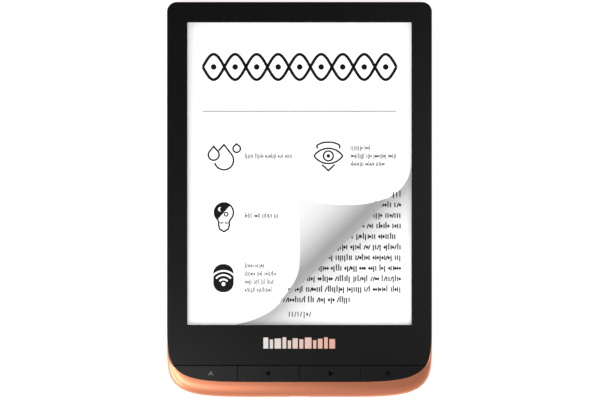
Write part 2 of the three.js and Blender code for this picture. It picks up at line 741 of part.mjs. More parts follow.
// A flat tail: out of a layer's lower edge at one height, round at the bend, and back at another.
const tailBack = boardFront + STACK_GAP + CONNECTOR_HEIGHT / 2;
const TAIL_STEPS = 4;
function tail(x, width, startLift, startZ) {
  const endLift = connectorLift - CONNECTOR_DEPTH / 2 - STACK_GAP;
  const turnLift = flexBend + FLEX_RADIUS;
  const centre = [[startLift, startZ]];
  const quarter = (i) => (Math.PI / 2) * (i / TAIL_STEPS);
  for (let i = 0; i <= TAIL_STEPS; i += 1) {
    const lift = turnLift - FLEX_RADIUS * Math.sin(quarter(i));
    centre.push([lift, startZ - FLEX_RADIUS * (1 - Math.cos(quarter(i)))]);
  }
  for (let i = 0; i <= TAIL_STEPS; i += 1) {
    const lift = turnLift - FLEX_RADIUS * Math.cos(quarter(i));
    centre.push([lift, tailBack + FLEX_RADIUS * (1 - Math.sin(quarter(i)))]);
  }
  centre.push([endLift, tailBack]);
  const side = (sign) =>
    centre.map(([lift, z], i) => {
      const before = centre[Math.max(i - 1, 0)];
      const after = centre[Math.min(i + 1, centre.length - 1)];
      const along = new THREE.Vector2(after[0] - before[0], after[1] - before[1]).normalize();
      const reach = (sign * FLEX_THICKNESS) / 2;
      return [lift - reach * along.y, z + reach * along.x];
    });
  const profile = [...side(1), ...side(-1).reverse()];
  return across(profile, x - width / 2, x + width / 2);
}
const touchFootLift = panelFootLift + TOUCH_INSET;
piece(
  display,
  "display_flex",
  tail(0, DISPLAY_FLEX_WIDTH, panelFootLift - STACK_GAP, panelBack + PANEL_THICKNESS / 2),
  amberFilm,
);
piece(
  display,
  "touch_flex",
  tail(TOUCH_FLEX_X, TOUCH_FLEX_WIDTH, touchFootLift - STACK_GAP, touchBack + TOUCH_THICKNESS / 2),
  amberFilm,
);

// ---- mid frame ----

const boardScrews = [
  [2 * BOARD_SIDE - halfWidth, BOARD_SCREW_HIGH],
  [halfWidth - 2 * BOARD_SIDE, BOARD_SCREW_HIGH],
  [-BOARD_SCREW_X, BOARD_SCREW_LOW],
  [BOARD_SCREW_X, BOARD_SCREW_LOW],
];
const tails = [
  [0, DISPLAY_FLEX_WIDTH],
  [TOUCH_FLEX_X, TOUCH_FLEX_WIDTH],
];
let midFrame = solid(prism(bodyOutline(SHELL_WALL + FRAME_GAP), frameBack, frameFront)).intersect(
  solid(block(-halfWidth, halfWidth, up(frameFoot), up(bodyHeight), frameBack, frameFront)),
);
for (const [x, lift] of [...frameScrews, ...boardScrews]) {
  const hole = rod(SCREW_RADIUS + SCREW_GAP, x, up(lift), frameBack - 1, frameFront + 1);
  midFrame = midFrame.subtract(solid(hole));
}
for (const [x, width] of tails) {
  const half = width / 2 + TAIL_OPENING;
  const opening = block(
    x - half,
    x + half,
    up(flexBend - NOTCH_GAP),
    up(connectorLift + CONNECTOR_DEPTH),
    frameBack - 1,
    frameFront + 1,
  );
  midFrame = midFrame.subtract(solid(opening));
}
piece(reader, "mid_frame", midFrame, magnesium);

// ---- main board and what is on it ----

const boardHalf = halfWidth - BOARD_SIDE;
const boardTaper = halfWidth - BOARD_TAPER;
const boardPoints = [
  [-boardTaper, BOARD_FOOT],
  [boardTaper, BOARD_FOOT],
  [boardTaper, boardShoulder],
  [boardHalf, boardShoulder],
  [boardHalf, BOARD_HEAD],
  [-boardHalf, BOARD_HEAD],
  [-boardHalf, boardShoulder],
  [-boardTaper, boardShoulder],
].map(([x, lift]) => new THREE.Vector2(x, up(lift)));
let board = solid(prism(boardPoints, 0, BOARD_THICKNESS));
const socketBack = SOCKET_LIFT + SOCKET_LENGTH;
const throughBoard = [-1, BOARD_THICKNESS + 1];
const notches = [
  [0, SOCKET_WIDTH, socketBack],
  [BUTTON_X, POWER_SWITCH_WIDTH, POWER_SWITCH_BACK],
];
for (const [x, width, back] of notches) {
  const half = width / 2 + NOTCH_GAP;
  const notch = block(x - half, x + half, up(0), up(back + NOTCH_GAP), ...throughBoard);
  board = board.subtract(solid(notch));
}
for (const [x, lift] of boardScrews) {
  board = board.subtract(solid(rod(SCREW_RADIUS + SCREW_GAP, x, up(lift), ...throughBoard)));
}
for (const [x, lift] of frameScrews) {
  const hole = rod(SCREW_HEAD_RADIUS + SCREW_GAP, x, up(lift), ...throughBoard);
  board = board.subtract(solid(hole));
}
piece(electronics, "main_board", board, boardGreen);

// Parts on the board's back: name, middle (x, lift), width, length, height, finish.
const parts = [
  ["processor", -14, 40, 14, 14, 1, chipBlack],
  ["memory_chip", -30, 40, 10.5, 12, 0.9, chipBlack],
  ["storage_chip", 6, 40, 11.5, 13, 0.9, chipBlack],
  ["wireless_module", 31, 40, 12, 12, 1.4, tinned],
  ["power_chip", -34, 20, 7, 7, 0.8, chipBlack],
  ["display_power_chip", 6, 22, 6, 6, 0.8, chipBlack],
  ["hall_sensor", 38, 24, 3, 1.6, 0.8, chipBlack],
  ["battery_connector", ...BATTERY_PLUG, 8, BATTERY_PLUG_LENGTH, 1.3, ivory],
];
for (const [name, x, lift, width, length, height, material] of parts) {
  const chip = piece(electronics, name, new THREE.BoxGeometry(width, length, height), material);
  chip.position.set(x, up(lift), -STACK_GAP - height / 2);
}

// The shield can is an open-bottomed box over the processor and its memory.
const CAN_SPAN = [-37, -5, 31, 49];
function can(wall, z0, z1) {
  const [left, right, foot, head] = CAN_SPAN;
  return solid(block(left + wall, right - wall, up(foot + wall), up(head - wall), z0, z1));
}
const canBack = -STACK_GAP - CAN_HEIGHT;
const shieldCan = can(0, canBack, -STACK_GAP).subtract(can(CAN_WALL, canBack + CAN_WALL, 1));
piece(electronics, "shield_can", shieldCan, tinned);

for (const [name, x, width] of [
  ["display_connector", 0, DISPLAY_FLEX_WIDTH + 2],
  ["touch_connector", TOUCH_FLEX_X, TOUCH_FLEX_WIDTH + 2],
]) {
  const socket = new THREE.BoxGeometry(width, CONNECTOR_DEPTH, CONNECTOR_HEIGHT);
  const mesh = piece(electronics, name, socket, ivory);
  mesh.position.set(x, up(connectorLift), BOARD_THICKNESS + STACK_GAP + CONNECTOR_HEIGHT / 2);
}

// ---- screws ----

// A pan head with a cross recess, then the shank: the head is towards the back.
function screw(length) {
  const head = solid(rod(SCREW_HEAD_RADIUS, 0, 0, -SCREW_HEAD, 0));
  const shank = solid(rod(SCREW_RADIUS, 0, 0, -SCREW_HEAD / 2, length));
  const [long, narrow] = [CROSS_LENGTH / 2, CROSS_WIDTH / 2];
  const slotZ = [-SCREW_HEAD - 1, CROSS_DEPTH - SCREW_HEAD];
  const cross = solid(block(-long, long, -narrow, narrow, ...slotZ)).add(
    solid(block(-narrow, narrow, -long, long, ...slotZ)),
  );
  return head.add(shank).subtract(cross);
}
frameScrews.forEach(([x, lift], i) => {
  const length = faceBack - frameBack - 2 * SCREW_GAP;
  const made = piece(reader, "frame_screw_" + (i + 1), screw(length), tinned);
  made.position.set(x, up(lift), frameBack - STACK_GAP);
});
boardScrews.forEach(([x, lift], i) => {
  const length = BOARD_THICKNESS + FRAME_THICKNESS;
  const made = piece(electronics, "board_screw_" + (i + 1), screw(length), tinned);
  made.position.set(x, up(lift), -STACK_GAP);
});

// ---- battery ----

const batteryFront = frameBack - STACK_GAP - TAPE_THICKNESS - STACK_GAP;
const batteryBack = SHELL_FLOOR + BATTERY_GAP;
const batteryHalf = halfWidth - BATTERY_SIDE;
const batteryBoardFoot = BOARD_HEAD + 2;
const batteryFoot = batteryBoardFoot + BATTERY_BOARD_LENGTH + BATTERY_GAP;
const batteryHead = bodyHeight - BATTERY_TOP;
function pouch(inset, z) {
  const [width, height] = [2 * (batteryHalf - inset), batteryHead - batteryFoot - 2 * inset];
  return [roundedRectangle(0, up((batteryFoot + batteryHead) / 2), width, height, POUCH_RADIUS), z];
}
const cell = loft([
  pouch(POUCH_EDGE, batteryBack),
  pouch(0, batteryBack + POUCH_EDGE),
  pouch(0, batteryFront - POUCH_EDGE),
  pouch(POUCH_EDGE, batteryFront),
]);
piece(battery, "battery_cell", cell, foil);

const tapeWidth = TAPE_WIDTH_SHARE * 2 * batteryHalf;
const tapeLength = TAPE_LENGTH_SHARE * (batteryHead - batteryFoot);
const tape = new THREE.BoxGeometry(tapeWidth, tapeLength, TAPE_THICKNESS);
const tapeMesh = piece(battery, "battery_tape", tape, darkFilm);
tapeMesh.position.y = up((batteryFoot + batteryHead) / 2);
tapeMesh.position.z = batteryFront + STACK_GAP + TAPE_THICKNESS / 2;

const leadsZ = boardBack - WIRE_DEPTH;
const batteryBoard = new THREE.BoxGeometry(
  BATTERY_BOARD_WIDTH,
  BATTERY_BOARD_LENGTH,
  BOARD_THICKNESS,
);
const batteryBoardMesh = piece(battery, "battery_board", batteryBoard, boardGreen);
batteryBoardMesh.position.set(0, up(batteryBoardFoot + BATTERY_BOARD_LENGTH / 2), leadsZ);

// Three insulated wires side by side, joined where they touch.
const leadsFoot = BATTERY_PLUG[1] + BATTERY_PLUG_LENGTH / 2 + STACK_GAP;
const leadsHead = batteryBoardFoot - STACK_GAP;
const wires = [-1, 0, 1].map((i) => {
  const wire = lyingRod(WIRE_RADIUS, 1.8 * WIRE_RADIUS * i, up(leadsFoot), up(leadsHead));
  return solid(wire);
});
const leads = piece(battery, "battery_leads", wires[0].add(wires[1]).add(wires[2]), darkFilm);
leads.position.set(BATTERY_PLUG[0] - WIRE_SHIFT, 0, leadsZ);

const antennaSheet = new THREE.BoxGeometry(ANTENNA_WIDTH, ANTENNA_LENGTH, FLEX_THICKNESS);
const antenna = piece(reader, "antenna", antennaSheet, amberFilm);
antenna.position.set(halfWidth - ANTENNA_INSET, up(ANTENNA_LIFT), 0);
antenna.position.z = frameBack - STACK_GAP - FLEX_THICKNESS / 2;

// ---- bottom edge ----

const socketShell = solid(
  socketPrism(SOCKET_WIDTH, SOCKET_HEIGHT, SOCKET_BEVEL, SOCKET_LIFT, socketBack),
).subtract(
  solid(
    socketPrism(
      SOCKET_WIDTH - 2 * SOCKET_WALL,
      SOCKET_HEIGHT - 2 * SOCKET_WALL,
      SOCKET_BEVEL - SOCKET_WALL / 2,
      SOCKET_LIFT - 1,
      socketBack - 2 * SOCKET_WALL,
    ),
  ),
);
piece(bottomEdge, "usb_socket", socketShell, tinned);
const tongue = new THREE.BoxGeometry(TONGUE_WIDTH, TONGUE_LENGTH, TONGUE_THICKNESS);
const tongueMesh = piece(bottomEdge, "usb_tongue", tongue, chipBlack);
tongueMesh.position.y = socketBack - 2 * SOCKET_WALL - STACK_GAP - TONGUE_LENGTH / 2;
tongueMesh.position.z = TONGUE_THICKNESS / 2;

// The button's cap stands in the wall; its flange is behind the wall, and its stem faces the switch.
const flangeFoot = SHELL_WALL + BUTTON_CATCH;
const flangeHead = flangeFoot + BUTTON_FLANGE_THICKNESS;
const stemHead = flangeHead + STEM_LENGTH;
const [capHalf, capRise] = [BUTTON_WIDTH / 2, BUTTON_HEIGHT / 2];
const [stemHalf, stemRise] = [STEM_WIDTH / 2, STEM_HEIGHT / 2];
const flangeHalf = capHalf + BUTTON_FLANGE;
const buttonParts = [
  block(-capHalf, capHalf, BUTTON_RECESS, flangeFoot + STACK_GAP, -capRise, capRise),
  block(-flangeHalf, flangeHalf, flangeFoot, flangeHead, -capRise, capRise),
  block(-stemHalf, stemHalf, flangeHead - STACK_GAP, stemHead, -stemRise, stemRise),
].map(solid);
const powerButton = piece(
  bottomEdge,
  "power_button",
  buttonParts[0].add(buttonParts[1]).add(buttonParts[2]),
  copper,
);
powerButton.position.x = BUTTON_X;

const nubFoot = stemHead + BUTTON_TRAVEL + STOP_GAP;
const nubHead = nubFoot + NUB_LENGTH;
const [switchHalf, switchRise] = [POWER_SWITCH_WIDTH / 2, POWER_SWITCH_HEIGHT / 2];
const [nubHalf, nubRise] = [NUB_WIDTH / 2, NUB_HEIGHT / 2];
const switchParts = [
  block(-switchHalf, switchHalf, nubHead, POWER_SWITCH_BACK, -switchRise, switchRise),
  block(-nubHalf, nubHalf, nubFoot, nubHead + STACK_GAP, -nubRise, nubRise),
].map(solid);
const powerSwitch = piece(bottomEdge, "power_switch", switchParts[0].add(switchParts[1]), tinned);
powerSwitch.position.x = BUTTON_X;

const pipe = lyingRod(PIPE_RADIUS, PIPE_X, BUTTON_RECESS, EDGE_PART_LIFT - 2 * STACK_GAP);
piece(bottomEdge, "status_light_pipe", pipe, clearFilm);
const edgeDepth = BOARD_FOOT - STACK_GAP - EDGE_PART_LIFT;
const edgeMiddle = EDGE_PART_LIFT + edgeDepth / 2;
const lampBox = new THREE.BoxGeometry(STATUS_LAMP_WIDTH, edgeDepth, STATUS_LAMP_HEIGHT);
const statusLed = piece(bottomEdge, "status_led", lampBox, ivory);
statusLed.position.set(PIPE_X, edgeMiddle, 0);
const resetBox = new THREE.BoxGeometry(RESET_SWITCH_WIDTH, edgeDepth, RESET_SWITCH_HEIGHT);
const resetSwitch = piece(bottomEdge, "reset_switch", resetBox, tinned);
resetSwitch.position.set(RESET_X, edgeMiddle, 0);

export default reader;
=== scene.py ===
# %% [markdown]
# # A six-inch e-reader
#
# The reader lies on its back: +X is the reader's right, +Y the top of the page and +Z comes out of the
# screen. The engineering model gives the solids, the bodies that move and the exact sizes. This lesson
# puts the fine surfaces and the finishes round it. Sizes are written in millimetres, as on a drawing,
# and turned into metres when a mesh is made.

# %% Load the fixed frame
import json
import math
import bpy
import numpy as np
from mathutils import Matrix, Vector


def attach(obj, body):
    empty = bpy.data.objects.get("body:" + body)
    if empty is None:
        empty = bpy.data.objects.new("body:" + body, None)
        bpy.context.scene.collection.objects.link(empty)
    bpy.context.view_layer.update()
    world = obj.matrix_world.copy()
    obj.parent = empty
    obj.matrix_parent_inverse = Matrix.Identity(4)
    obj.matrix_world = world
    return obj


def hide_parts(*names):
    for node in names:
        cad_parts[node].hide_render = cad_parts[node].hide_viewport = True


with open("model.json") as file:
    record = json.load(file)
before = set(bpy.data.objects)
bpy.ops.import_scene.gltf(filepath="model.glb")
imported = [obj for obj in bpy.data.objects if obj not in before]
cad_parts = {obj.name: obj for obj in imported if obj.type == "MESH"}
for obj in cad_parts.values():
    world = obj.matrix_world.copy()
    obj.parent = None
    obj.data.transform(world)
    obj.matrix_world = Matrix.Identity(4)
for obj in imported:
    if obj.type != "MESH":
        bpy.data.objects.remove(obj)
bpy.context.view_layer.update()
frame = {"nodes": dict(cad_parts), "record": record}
MM = 0.001

# %% [markdown]
# ## Shader maths as Python expressions
#
# A material is a graph of nodes. Written node by node it is long and hard to read, so `Value` wraps a
# socket and lets `0.3 + 0.1 * noise` build the Math nodes. `Finish` holds one material: its settings
# that are the same all over go straight on the shader's sockets, and `node()` makes every other node.

# %% A value in a node graph, and a finish
class Value:
    """An output socket. Arithmetic on it adds Math nodes to its graph."""

    def __init__(self, finish, socket):
        self.finish, self.socket = finish, socket

    def maths(self, operation, *inputs):
        return self.finish.node("ShaderNodeMath", dict(enumerate(inputs)), operation=operation)

    def __add__(self, other):
        return self.maths("ADD", self, other)

    def __sub__(self, other):
        return self.maths("SUBTRACT", self, other)

    def __rsub__(self, other):
        return self.maths("SUBTRACT", other, self)

    def __mul__(self, other):
        return self.maths("MULTIPLY", self, other)

    __radd__, __rmul__ = __add__, __mul__


class Finish:
    """One material, named for the record's slot where it has one. Uniform settings are given by the
    shader's socket names."""

    def __init__(self, name, **uniform):
        self.name = name
        self.material = bpy.data.materials.new(name)
        self.material.use_nodes = True
        self.tree = self.material.node_tree
        self.shader = self.tree.nodes["Principled BSDF"]
        for socket, value in uniform.items():
            self.shader.inputs[socket.replace("_", " ")].default_value = value

    def node(self, kind, inputs=(), output=0, stops=None, **settings):
        """Adds a node: its settings and ramp stops first, then the values or links of its sockets."""
        made = self.tree.nodes.new(kind)
        for name, value in settings.items():
            setattr(made, name, value)
        if stops:
            ramp = made.color_ramp
            for place, colour in stops[2:]:
                ramp.elements.new(place)
            for element, (place, colour) in zip(ramp.elements, stops):
                element.position, element.color = place, (*colour, 1)
        for socket, value in dict(inputs).items():
            if isinstance(value, Value):
                self.tree.links.new(value.socket, made.inputs[socket])
            else:
                made.inputs[socket].default_value = value
        return Value(self, made.outputs[output])

    def feed(self, **varying):
        """Links what changes over the surface to the shader."""
        for socket, value in varying.items():
            self.tree.links.new(value.socket, self.shader.inputs[socket.replace("_", " ")])
        return self

    def place(self, scale=(1, 1, 1)):
        """Object coordinates, stretched."""
        here = self.node("ShaderNodeTexCoord", output="Object")
        return self.node("ShaderNodeMapping", {"Vector": here, "Scale": scale})

    def noise(self, size, detail=2.0, stretch=(1, 1, 1)):
        """Smooth noise from 0 to 1, whose lumps are about `size` millimetres across."""
        inputs = {"Vector": self.place(stretch), "Scale": 1 / (size * MM), "Detail": detail}
        return self.node("ShaderNodeTexNoise", inputs, output="Fac")

    def mix(self, share, first, second):
        """Between two colours, by a share from 0 to 1."""
        first, second = (c if isinstance(c, Value) else (*c, 1) for c in (first, second))
        sockets = {"Factor": share, 6: first, 7: second}
        return self.node("ShaderNodeMix", sockets, output=2, data_type="RGBA")

    def bump(self, height, strength, depth):
        """A normal tilted by a height, `depth` millimetres deep."""
        sockets = {"Height": height, "Strength": strength, "Distance": depth * MM}
        return self.node("ShaderNodeBump", sockets)


print("shader helpers ready")

# %% [markdown]
# ## The two finishes that make the object
#
# The rear shell is moulded plastic under a satin copper lacquer: fine metal flakes in a clear film,
# which lies in very shallow waves. Most of the look is the metal's reflection, so the base colour only
# varies a little. The black face is bare plastic with a fine moulded grain, which spreads each
# reflection into a soft sheen.

# %% Copper lacquer and black plastic
def copper_lacquer(name, roughness):
    """Flakes of 0.09 mm and waves of 9 mm vary the colour; a finer wave of 2.2 mm tilts the skin."""
    made = Finish(name, Metallic=0.88, Coat_Weight=0.12, Coat_Roughness=0.25)
    flakes = made.noise(0.09, 1.0)
    waves = made.noise(9.0)
    colour = made.mix(0.7 * flakes + 0.3 * waves, (0.53, 0.178, 0.094), (0.71, 0.256, 0.138))
    skin = made.bump(made.noise(2.2, 1.0) + 0.25 * flakes, 0.12, 0.02)
    return made.feed(Base_Color=colour, Roughness=roughness + 0.1 * flakes - 0.05 * waves, Normal=skin)


def grained_plastic(name, dark, light, grain, depth, gloss):
    """Grain size and depth are in millimetres."""
    made = Finish(name, Specular_IOR_Level=gloss)
    fine = made.noise(grain, 2.0)
    broad = made.noise(14.0)
    colour = made.mix(0.6 * fine + 0.4 * broad, dark, light)
    surface = made.bump(fine, 0.5, depth)
    return made.feed(Base_Color=colour, Roughness=0.34 + 0.1 * fine, Normal=surface)


copper_shell = copper_lacquer("copper_shell", 0.36)
copper_button = copper_lacquer("copper_button", 0.3)
face_blacks = (0.0005, 0.0005, 0.0006), (0.0014, 0.0014, 0.0015)
key_blacks = (0.002, 0.0021, 0.0022), (0.0045, 0.0047, 0.005)
satin_black = grained_plastic("satin_black_face", *face_blacks, grain=0.16, depth=0.004, gloss=0.27)
key_black = grained_plastic("key_black", *key_blacks, grain=0.2, depth=0.003, gloss=0.2)
print("finishes:", [m.name for m in bpy.data.materials])

# %% [markdown]
# ## What is on the screen and behind it
#
# Electronic paper is matt and very slightly speckled, and glows a little with the reader's front light.
# The clear sheets over it hardly show, so they are almost fully transparent, with the soft reflection of
# an anti-glare film. The parts inside are seen only when the reader is taken apart, but each still has
# its own surface: solder lacquer over tracks, moulded chips, rolled and cast metal, laminated foil and
# amber film.

# %% Paper, ink and films
FRONT_LIGHT = 0.4  # strength of the page's own light


def paper(name, shade=None):
    """Speckled paper of one shade, or of the printed shade that the piece's own attribute gives."""
    made = Finish(name, Specular_IOR_Level=0.15, Emission_Strength=FRONT_LIGHT)
    speckle = made.noise(0.12, 1.0)
    if shade:
        colour = made.mix(speckle, [shade * k for k in (0.975, 0.975, 0.97)], [shade] * 3)
    else:
        printed = made.node("ShaderNodeAttribute", output="Color", attribute_name="shade")
        colour = made.mix(0.03 * speckle, printed, (0.5, 0.5, 0.5))
    return made.feed(Base_Color=colour, Emission_Color=colour, Roughness=0.75 + 0.15 * speckle)


def ink(name, shade):
    made = Finish(name, Specular_IOR_Level=0.1)
    speckle = made.noise(0.15, 1.0)
    colour = made.mix(speckle, [0.85 * shade] * 3, [1.15 * shade] * 3)
    return made.feed(Base_Color=colour, Roughness=0.8 + 0.1 * speckle)


def clear_film(name, alpha, roughness):
    made = Finish(name, Base_Color=(0.1, 0.1, 0.105, 1), Specular_IOR_Level=0.25)
    soft = made.noise(0.3, 1.0)
    return made.feed(Alpha=alpha + 0.01 * soft, Roughness=roughness + 0.08 * soft)


page = paper("page", 0.9)
printed_page = paper("printed_page")
black_ink, line_ink = ink("black_ink", 0.002), ink("line_ink", 0.006)
book_ink, caption_ink = ink("book_ink", 0.012), ink("caption_ink", 0.035)
film, pipe_clear = clear_film("clear_film", 0.008, 0.22), clear_film("pipe_clear", 0.45, 0.12)
print("paper, ink and films ready")

# %% Finishes of the inner parts
def speckled(name, dark, light, size, roughness, metallic=0.0, stretch=(1, 1, 1), depth=0.01):
    """Spots of a size and depth in millimetres, drawn out where the stretch is 1 against more."""
    made = Finish(name, Metallic=metallic)
    spots = made.noise(size, 3.0, stretch)
    surface = made.bump(spots, 0.4, depth)
    colour = made.mix(spots, dark, light)
    return made.feed(Base_Color=colour, Roughness=roughness + 0.15 * spots, Normal=surface)


def circuit_lacquer(name):
    """Green lacquer: lighter over the tracks, which run in straight lines, with small tinned vias."""
    made = Finish(name, Coat_Weight=0.4, Coat_Roughness=0.1)
    place = made.place((1, 1, 0))
    brick = {"Vector": place, "Scale": 260.0, "Mortar Size": 0.035, "Mortar Smooth": 0.1}
    tracks = made.node("ShaderNodeTexBrick", brick, output="Fac")
    vias = made.node("ShaderNodeTexVoronoi", {"Vector": place, "Scale": 420.0})
    dots = vias.maths("LESS_THAN", vias, 0.12)
    green = made.mix(tracks, (0.006, 0.075, 0.035), (0.02, 0.16, 0.07))
    colour = made.mix(dots, green, (0.55, 0.56, 0.52))
    surface = made.bump(tracks + dots, 0.3, 0.03)
    return made.feed(Base_Color=colour, Metallic=0.8 * dots, Roughness=0.35 - 0.1 * tracks, Normal=surface)


def ribbon_film(name):
    """Amber film with fine copper lines along it."""
    made = Finish(name, Coat_Weight=0.3)
    lines = made.node("ShaderNodeTexWave", {"Vector": made.place(), "Scale": 400.0}, output="Fac")
    track = lines.maths("GREATER_THAN", lines, 0.55)
    return made.feed(
        Base_Color=made.mix(track, (0.42, 0.17, 0.03), (0.75, 0.36, 0.1)), Roughness=0.4 - 0.1 * track
    )


dark_film = speckled("dark_film", (0.012, 0.012, 0.014), (0.03, 0.03, 0.033), 0.8, 0.5)
ivory = speckled("ivory_plastic", (0.7, 0.66, 0.52), (0.82, 0.79, 0.66), 0.6, 0.45)
magnesium = speckled("magnesium", (0.3, 0.31, 0.32), (0.45, 0.46, 0.47), 0.5, 0.42, 0.9, depth=0.03)
chip_black = speckled("chip_black", (0.008, 0.008, 0.009), (0.02, 0.02, 0.022), 0.12, 0.5)
tinned = speckled("tinned_steel", (0.48, 0.49, 0.5), (0.66, 0.67, 0.68), 0.9, 0.25, 1.0, (1, 8, 8))
foil = speckled("battery_foil", (0.5, 0.52, 0.54), (0.64, 0.66, 0.68), 3.0, 0.3, 0.75, depth=0.05)
board, amber = circuit_lacquer("circuit_board"), ribbon_film("amber_film")
inner = [dark_film, ivory, magnesium, chip_black, tinned, foil, board, amber]
gold = speckled("contact_gold", (0.75, 0.5, 0.16), (0.9, 0.66, 0.28), 0.3, 0.2, 1.0, (1, 6, 1))
print("inner finishes:", len(inner))

# %% Put the finishes on the engineering model's nodes
outer = [copper_shell, copper_button, satin_black, key_black, page, film]
by_slot = {finish.name: finish for finish in inner + outer}
slots = {row["node"]: row["material_slot"] for row in frame["record"]["subparts"]}
for name, node in frame["nodes"].items():
    finish = pipe_clear if name == "status_light_pipe" else by_slot[slots[name]]
    node.data.materials.clear()
    node.data.materials.append(finish.material)
print("dressed", len(frame["nodes"]), "nodes")

# %% [markdown]
# ## Surfaces from arrays
#
# Each new piece is a stack of rings, or sections, held in one array of points. `skin` joins ring to
# ring with four-sided faces. Rings that run anticlockwise as the stack climbs give faces that point
# outwards, also where the stack folds back down inside a wall.

# %% Meshes from arrays of points
def skin(rings, closed=False):
    """Faces over rings[ring, point]: ring i joins ring i + 1, and a closed stack joins its last to its
    first, as round a frame. An open stack gets a flat end at each side."""
    rings = np.asarray(rings)
    count, around = rings.shape[:2]
    index = np.arange(count * around).reshape(count, around)
    low = index if closed else index[:-1]
    high = np.roll(index, -1, 0) if closed else index[1:]
    faces = np.stack([low, np.roll(low, -1, 1), np.roll(high, -1, 1), high], -1).reshape(-1, 4).tolist()
    if not closed:
        faces += [index[0][::-1].tolist(), index[-1].tolist()]
    return rings.reshape(-1, 3), faces


def gather(parts):
    """Several (points, faces) as one."""
    points, faces, start = [], [], 0
    for part_points, part_faces in parts:
        points.append(part_points)
        faces += [[start + i for i in face] for face in part_faces]
        start += len(part_points)
    return np.concatenate(points), faces


def finish_mesh(mesh, sharp=32):
    """Smooth shading, broken where two faces meet at more than `sharp` degrees."""
    mesh.polygons.foreach_set("use_smooth", np.ones(len(mesh.polygons), bool))
    mesh.set_sharp_from_angle(angle=math.radians(sharp))
    mesh.update()


def piece(name, shape, finish, body="root", replaces=()):
    """A new piece from (points in millimetres, faces), riding on a body."""
    points, faces = shape
    mesh = bpy.data.meshes.new(name)
    mesh.from_pydata((np.asarray(points, float) * MM).tolist(), [], faces)
    mesh.validate()
    finish_mesh(mesh)
    mesh.materials.append(finish.material)
    made = bpy.data.objects.new(name, mesh)
    bpy.context.scene.collection.objects.link(made)
    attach(made, body)
    if replaces:
        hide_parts(*replaces)
    return made


def cut(target, shapes):
    """Takes closed shapes out of a piece for good."""
    for points, faces in shapes:
        mesh = bpy.data.meshes.new("cutter")
        mesh.from_pydata((np.asarray(points, float) * MM).tolist(), [], faces)
        cutter = bpy.data.objects.new("cutter", mesh)
        bpy.context.scene.collection.objects.link(cutter)
        taking = target.modifiers.new("cut", "BOOLEAN")
        taking.operation, taking.solver, taking.object = "DIFFERENCE", "EXACT", cutter
        bpy.context.view_layer.update()
        seen = target.evaluated_get(bpy.context.evaluated_depsgraph_get())
        result = bpy.data.meshes.new_from_object(seen)
        target.modifiers.clear()
        old, target.data = target.data, result
        bpy.data.meshes.remove(old)
        bpy.data.objects.remove(cutter)
        bpy.data.meshes.remove(mesh)
    finish_mesh(target.data)
    target.data.name = target.name


print("mesh helpers ready")

# %% [markdown]
# ## The outline
#
# The reader's top corners are arcs. Its bottom corners are superellipses, |x/w|^n + |y/h|^n = 1, much
# wider than tall. A superellipse sampled by its usual angle has points bunched at its ends, so it is
# sampled by the direction of a ray from its centre instead: at angle f the ray is
# (|cos f|^n + |sin f|^n)^(-1/n) long.

# %% Outlines of the body and of the black face
HALF, HEIGHT, DEPTH = 54.0, 161.3, 8.0  # half the width, then the height and depth
SEAM, FACE_FOOT = 13.2, 6.4  # lifts of the seam above the keys and of the face's lower edge
REVEAL = 0.05  # copper left showing round the face
TOP_RADIUS = 4
FACE_STRAIGHT, FACE_CORNER, FACE_FULLNESS = 4, 31, 5.6  # the face's lower corners
FLAT, CORNER, SIDE, ARC, TOP = 18, 56, 12, 12, 8  # steps along each stretch of an outline


def up(lift):
    """The Y of a lift, which is measured from the bottom edge."""
    return lift - HEIGHT / 2


def outline(half, foot, head, radius, straight, height, fullness, start=None, fine=1):
    """Points round the reader from the bottom middle, anticlockwise. `start` cuts the outline off at a
    lift, with a straight line across; `fine` samples it that many times as finely."""
    flat, corner, side, arc, along = (count * fine for count in (FLAT, CORNER, SIDE, ARC, TOP))
    reach = lambda f: (np.abs(np.cos(f)) ** fullness + np.abs(np.sin(f)) ** fullness) ** (-1 / fullness)
    first = np.pi / 2
    if start is not None:
        table = np.linspace(np.pi / 2, 0, 4000)
        first = np.interp(start, foot + height * (1 - reach(table) * np.sin(table)), table)
    f = np.linspace(first, 0, corner + 1)
    corner_x = straight + (half - straight) * reach(f) * np.cos(f)
    corner_y = foot + height * (1 - reach(f) * np.sin(f))
    a = np.linspace(0, np.pi / 2, arc + 1)
    x = np.concatenate([
        np.linspace(0, corner_x[0], flat + 1)[:-1],
        corner_x,
        np.full(side - 1, half),
        half - radius + radius * np.cos(a),
        np.linspace(half - radius, 0, along + 1)[1:],
    ])
    y = np.concatenate([
        np.full(flat, corner_y[0]),
        corner_y,
        np.linspace(corner_y[-1], head - radius, side + 1)[1:-1],
        head - radius + radius * np.sin(a),
        np.full(along, head),
    ])
    right = np.stack([x, up(y)], 1)
    return np.concatenate([right, right[1:-1][::-1] * [-1, 1]])


def body(inset, fine=1):
    """The body's outline, moved in by an inset; its top corners grow rounder inwards."""
    radius = TOP_RADIUS + 0.5 * inset
    return outline(HALF - inset, inset, HEIGHT - inset, radius, straight=8, height=25, fullness=5, fine=fine)


def face(inset, start=None):
    """The black face's outline, moved in by an inset."""
    side, shape = REVEAL + inset, (FACE_STRAIGHT, FACE_CORNER, FACE_FULLNESS)
    return outline(HALF - side, FACE_FOOT + inset, HEIGHT - side, TOP_RADIUS - REVEAL, *shape, start)


def ring(points, z):
    """Outline points at a height, which may change from point to point."""
    return np.concatenate([points, np.broadcast_to(z, len(points))[:, None]], 1)


AROUND = len(body(0))
print("an outline has", AROUND, "points")

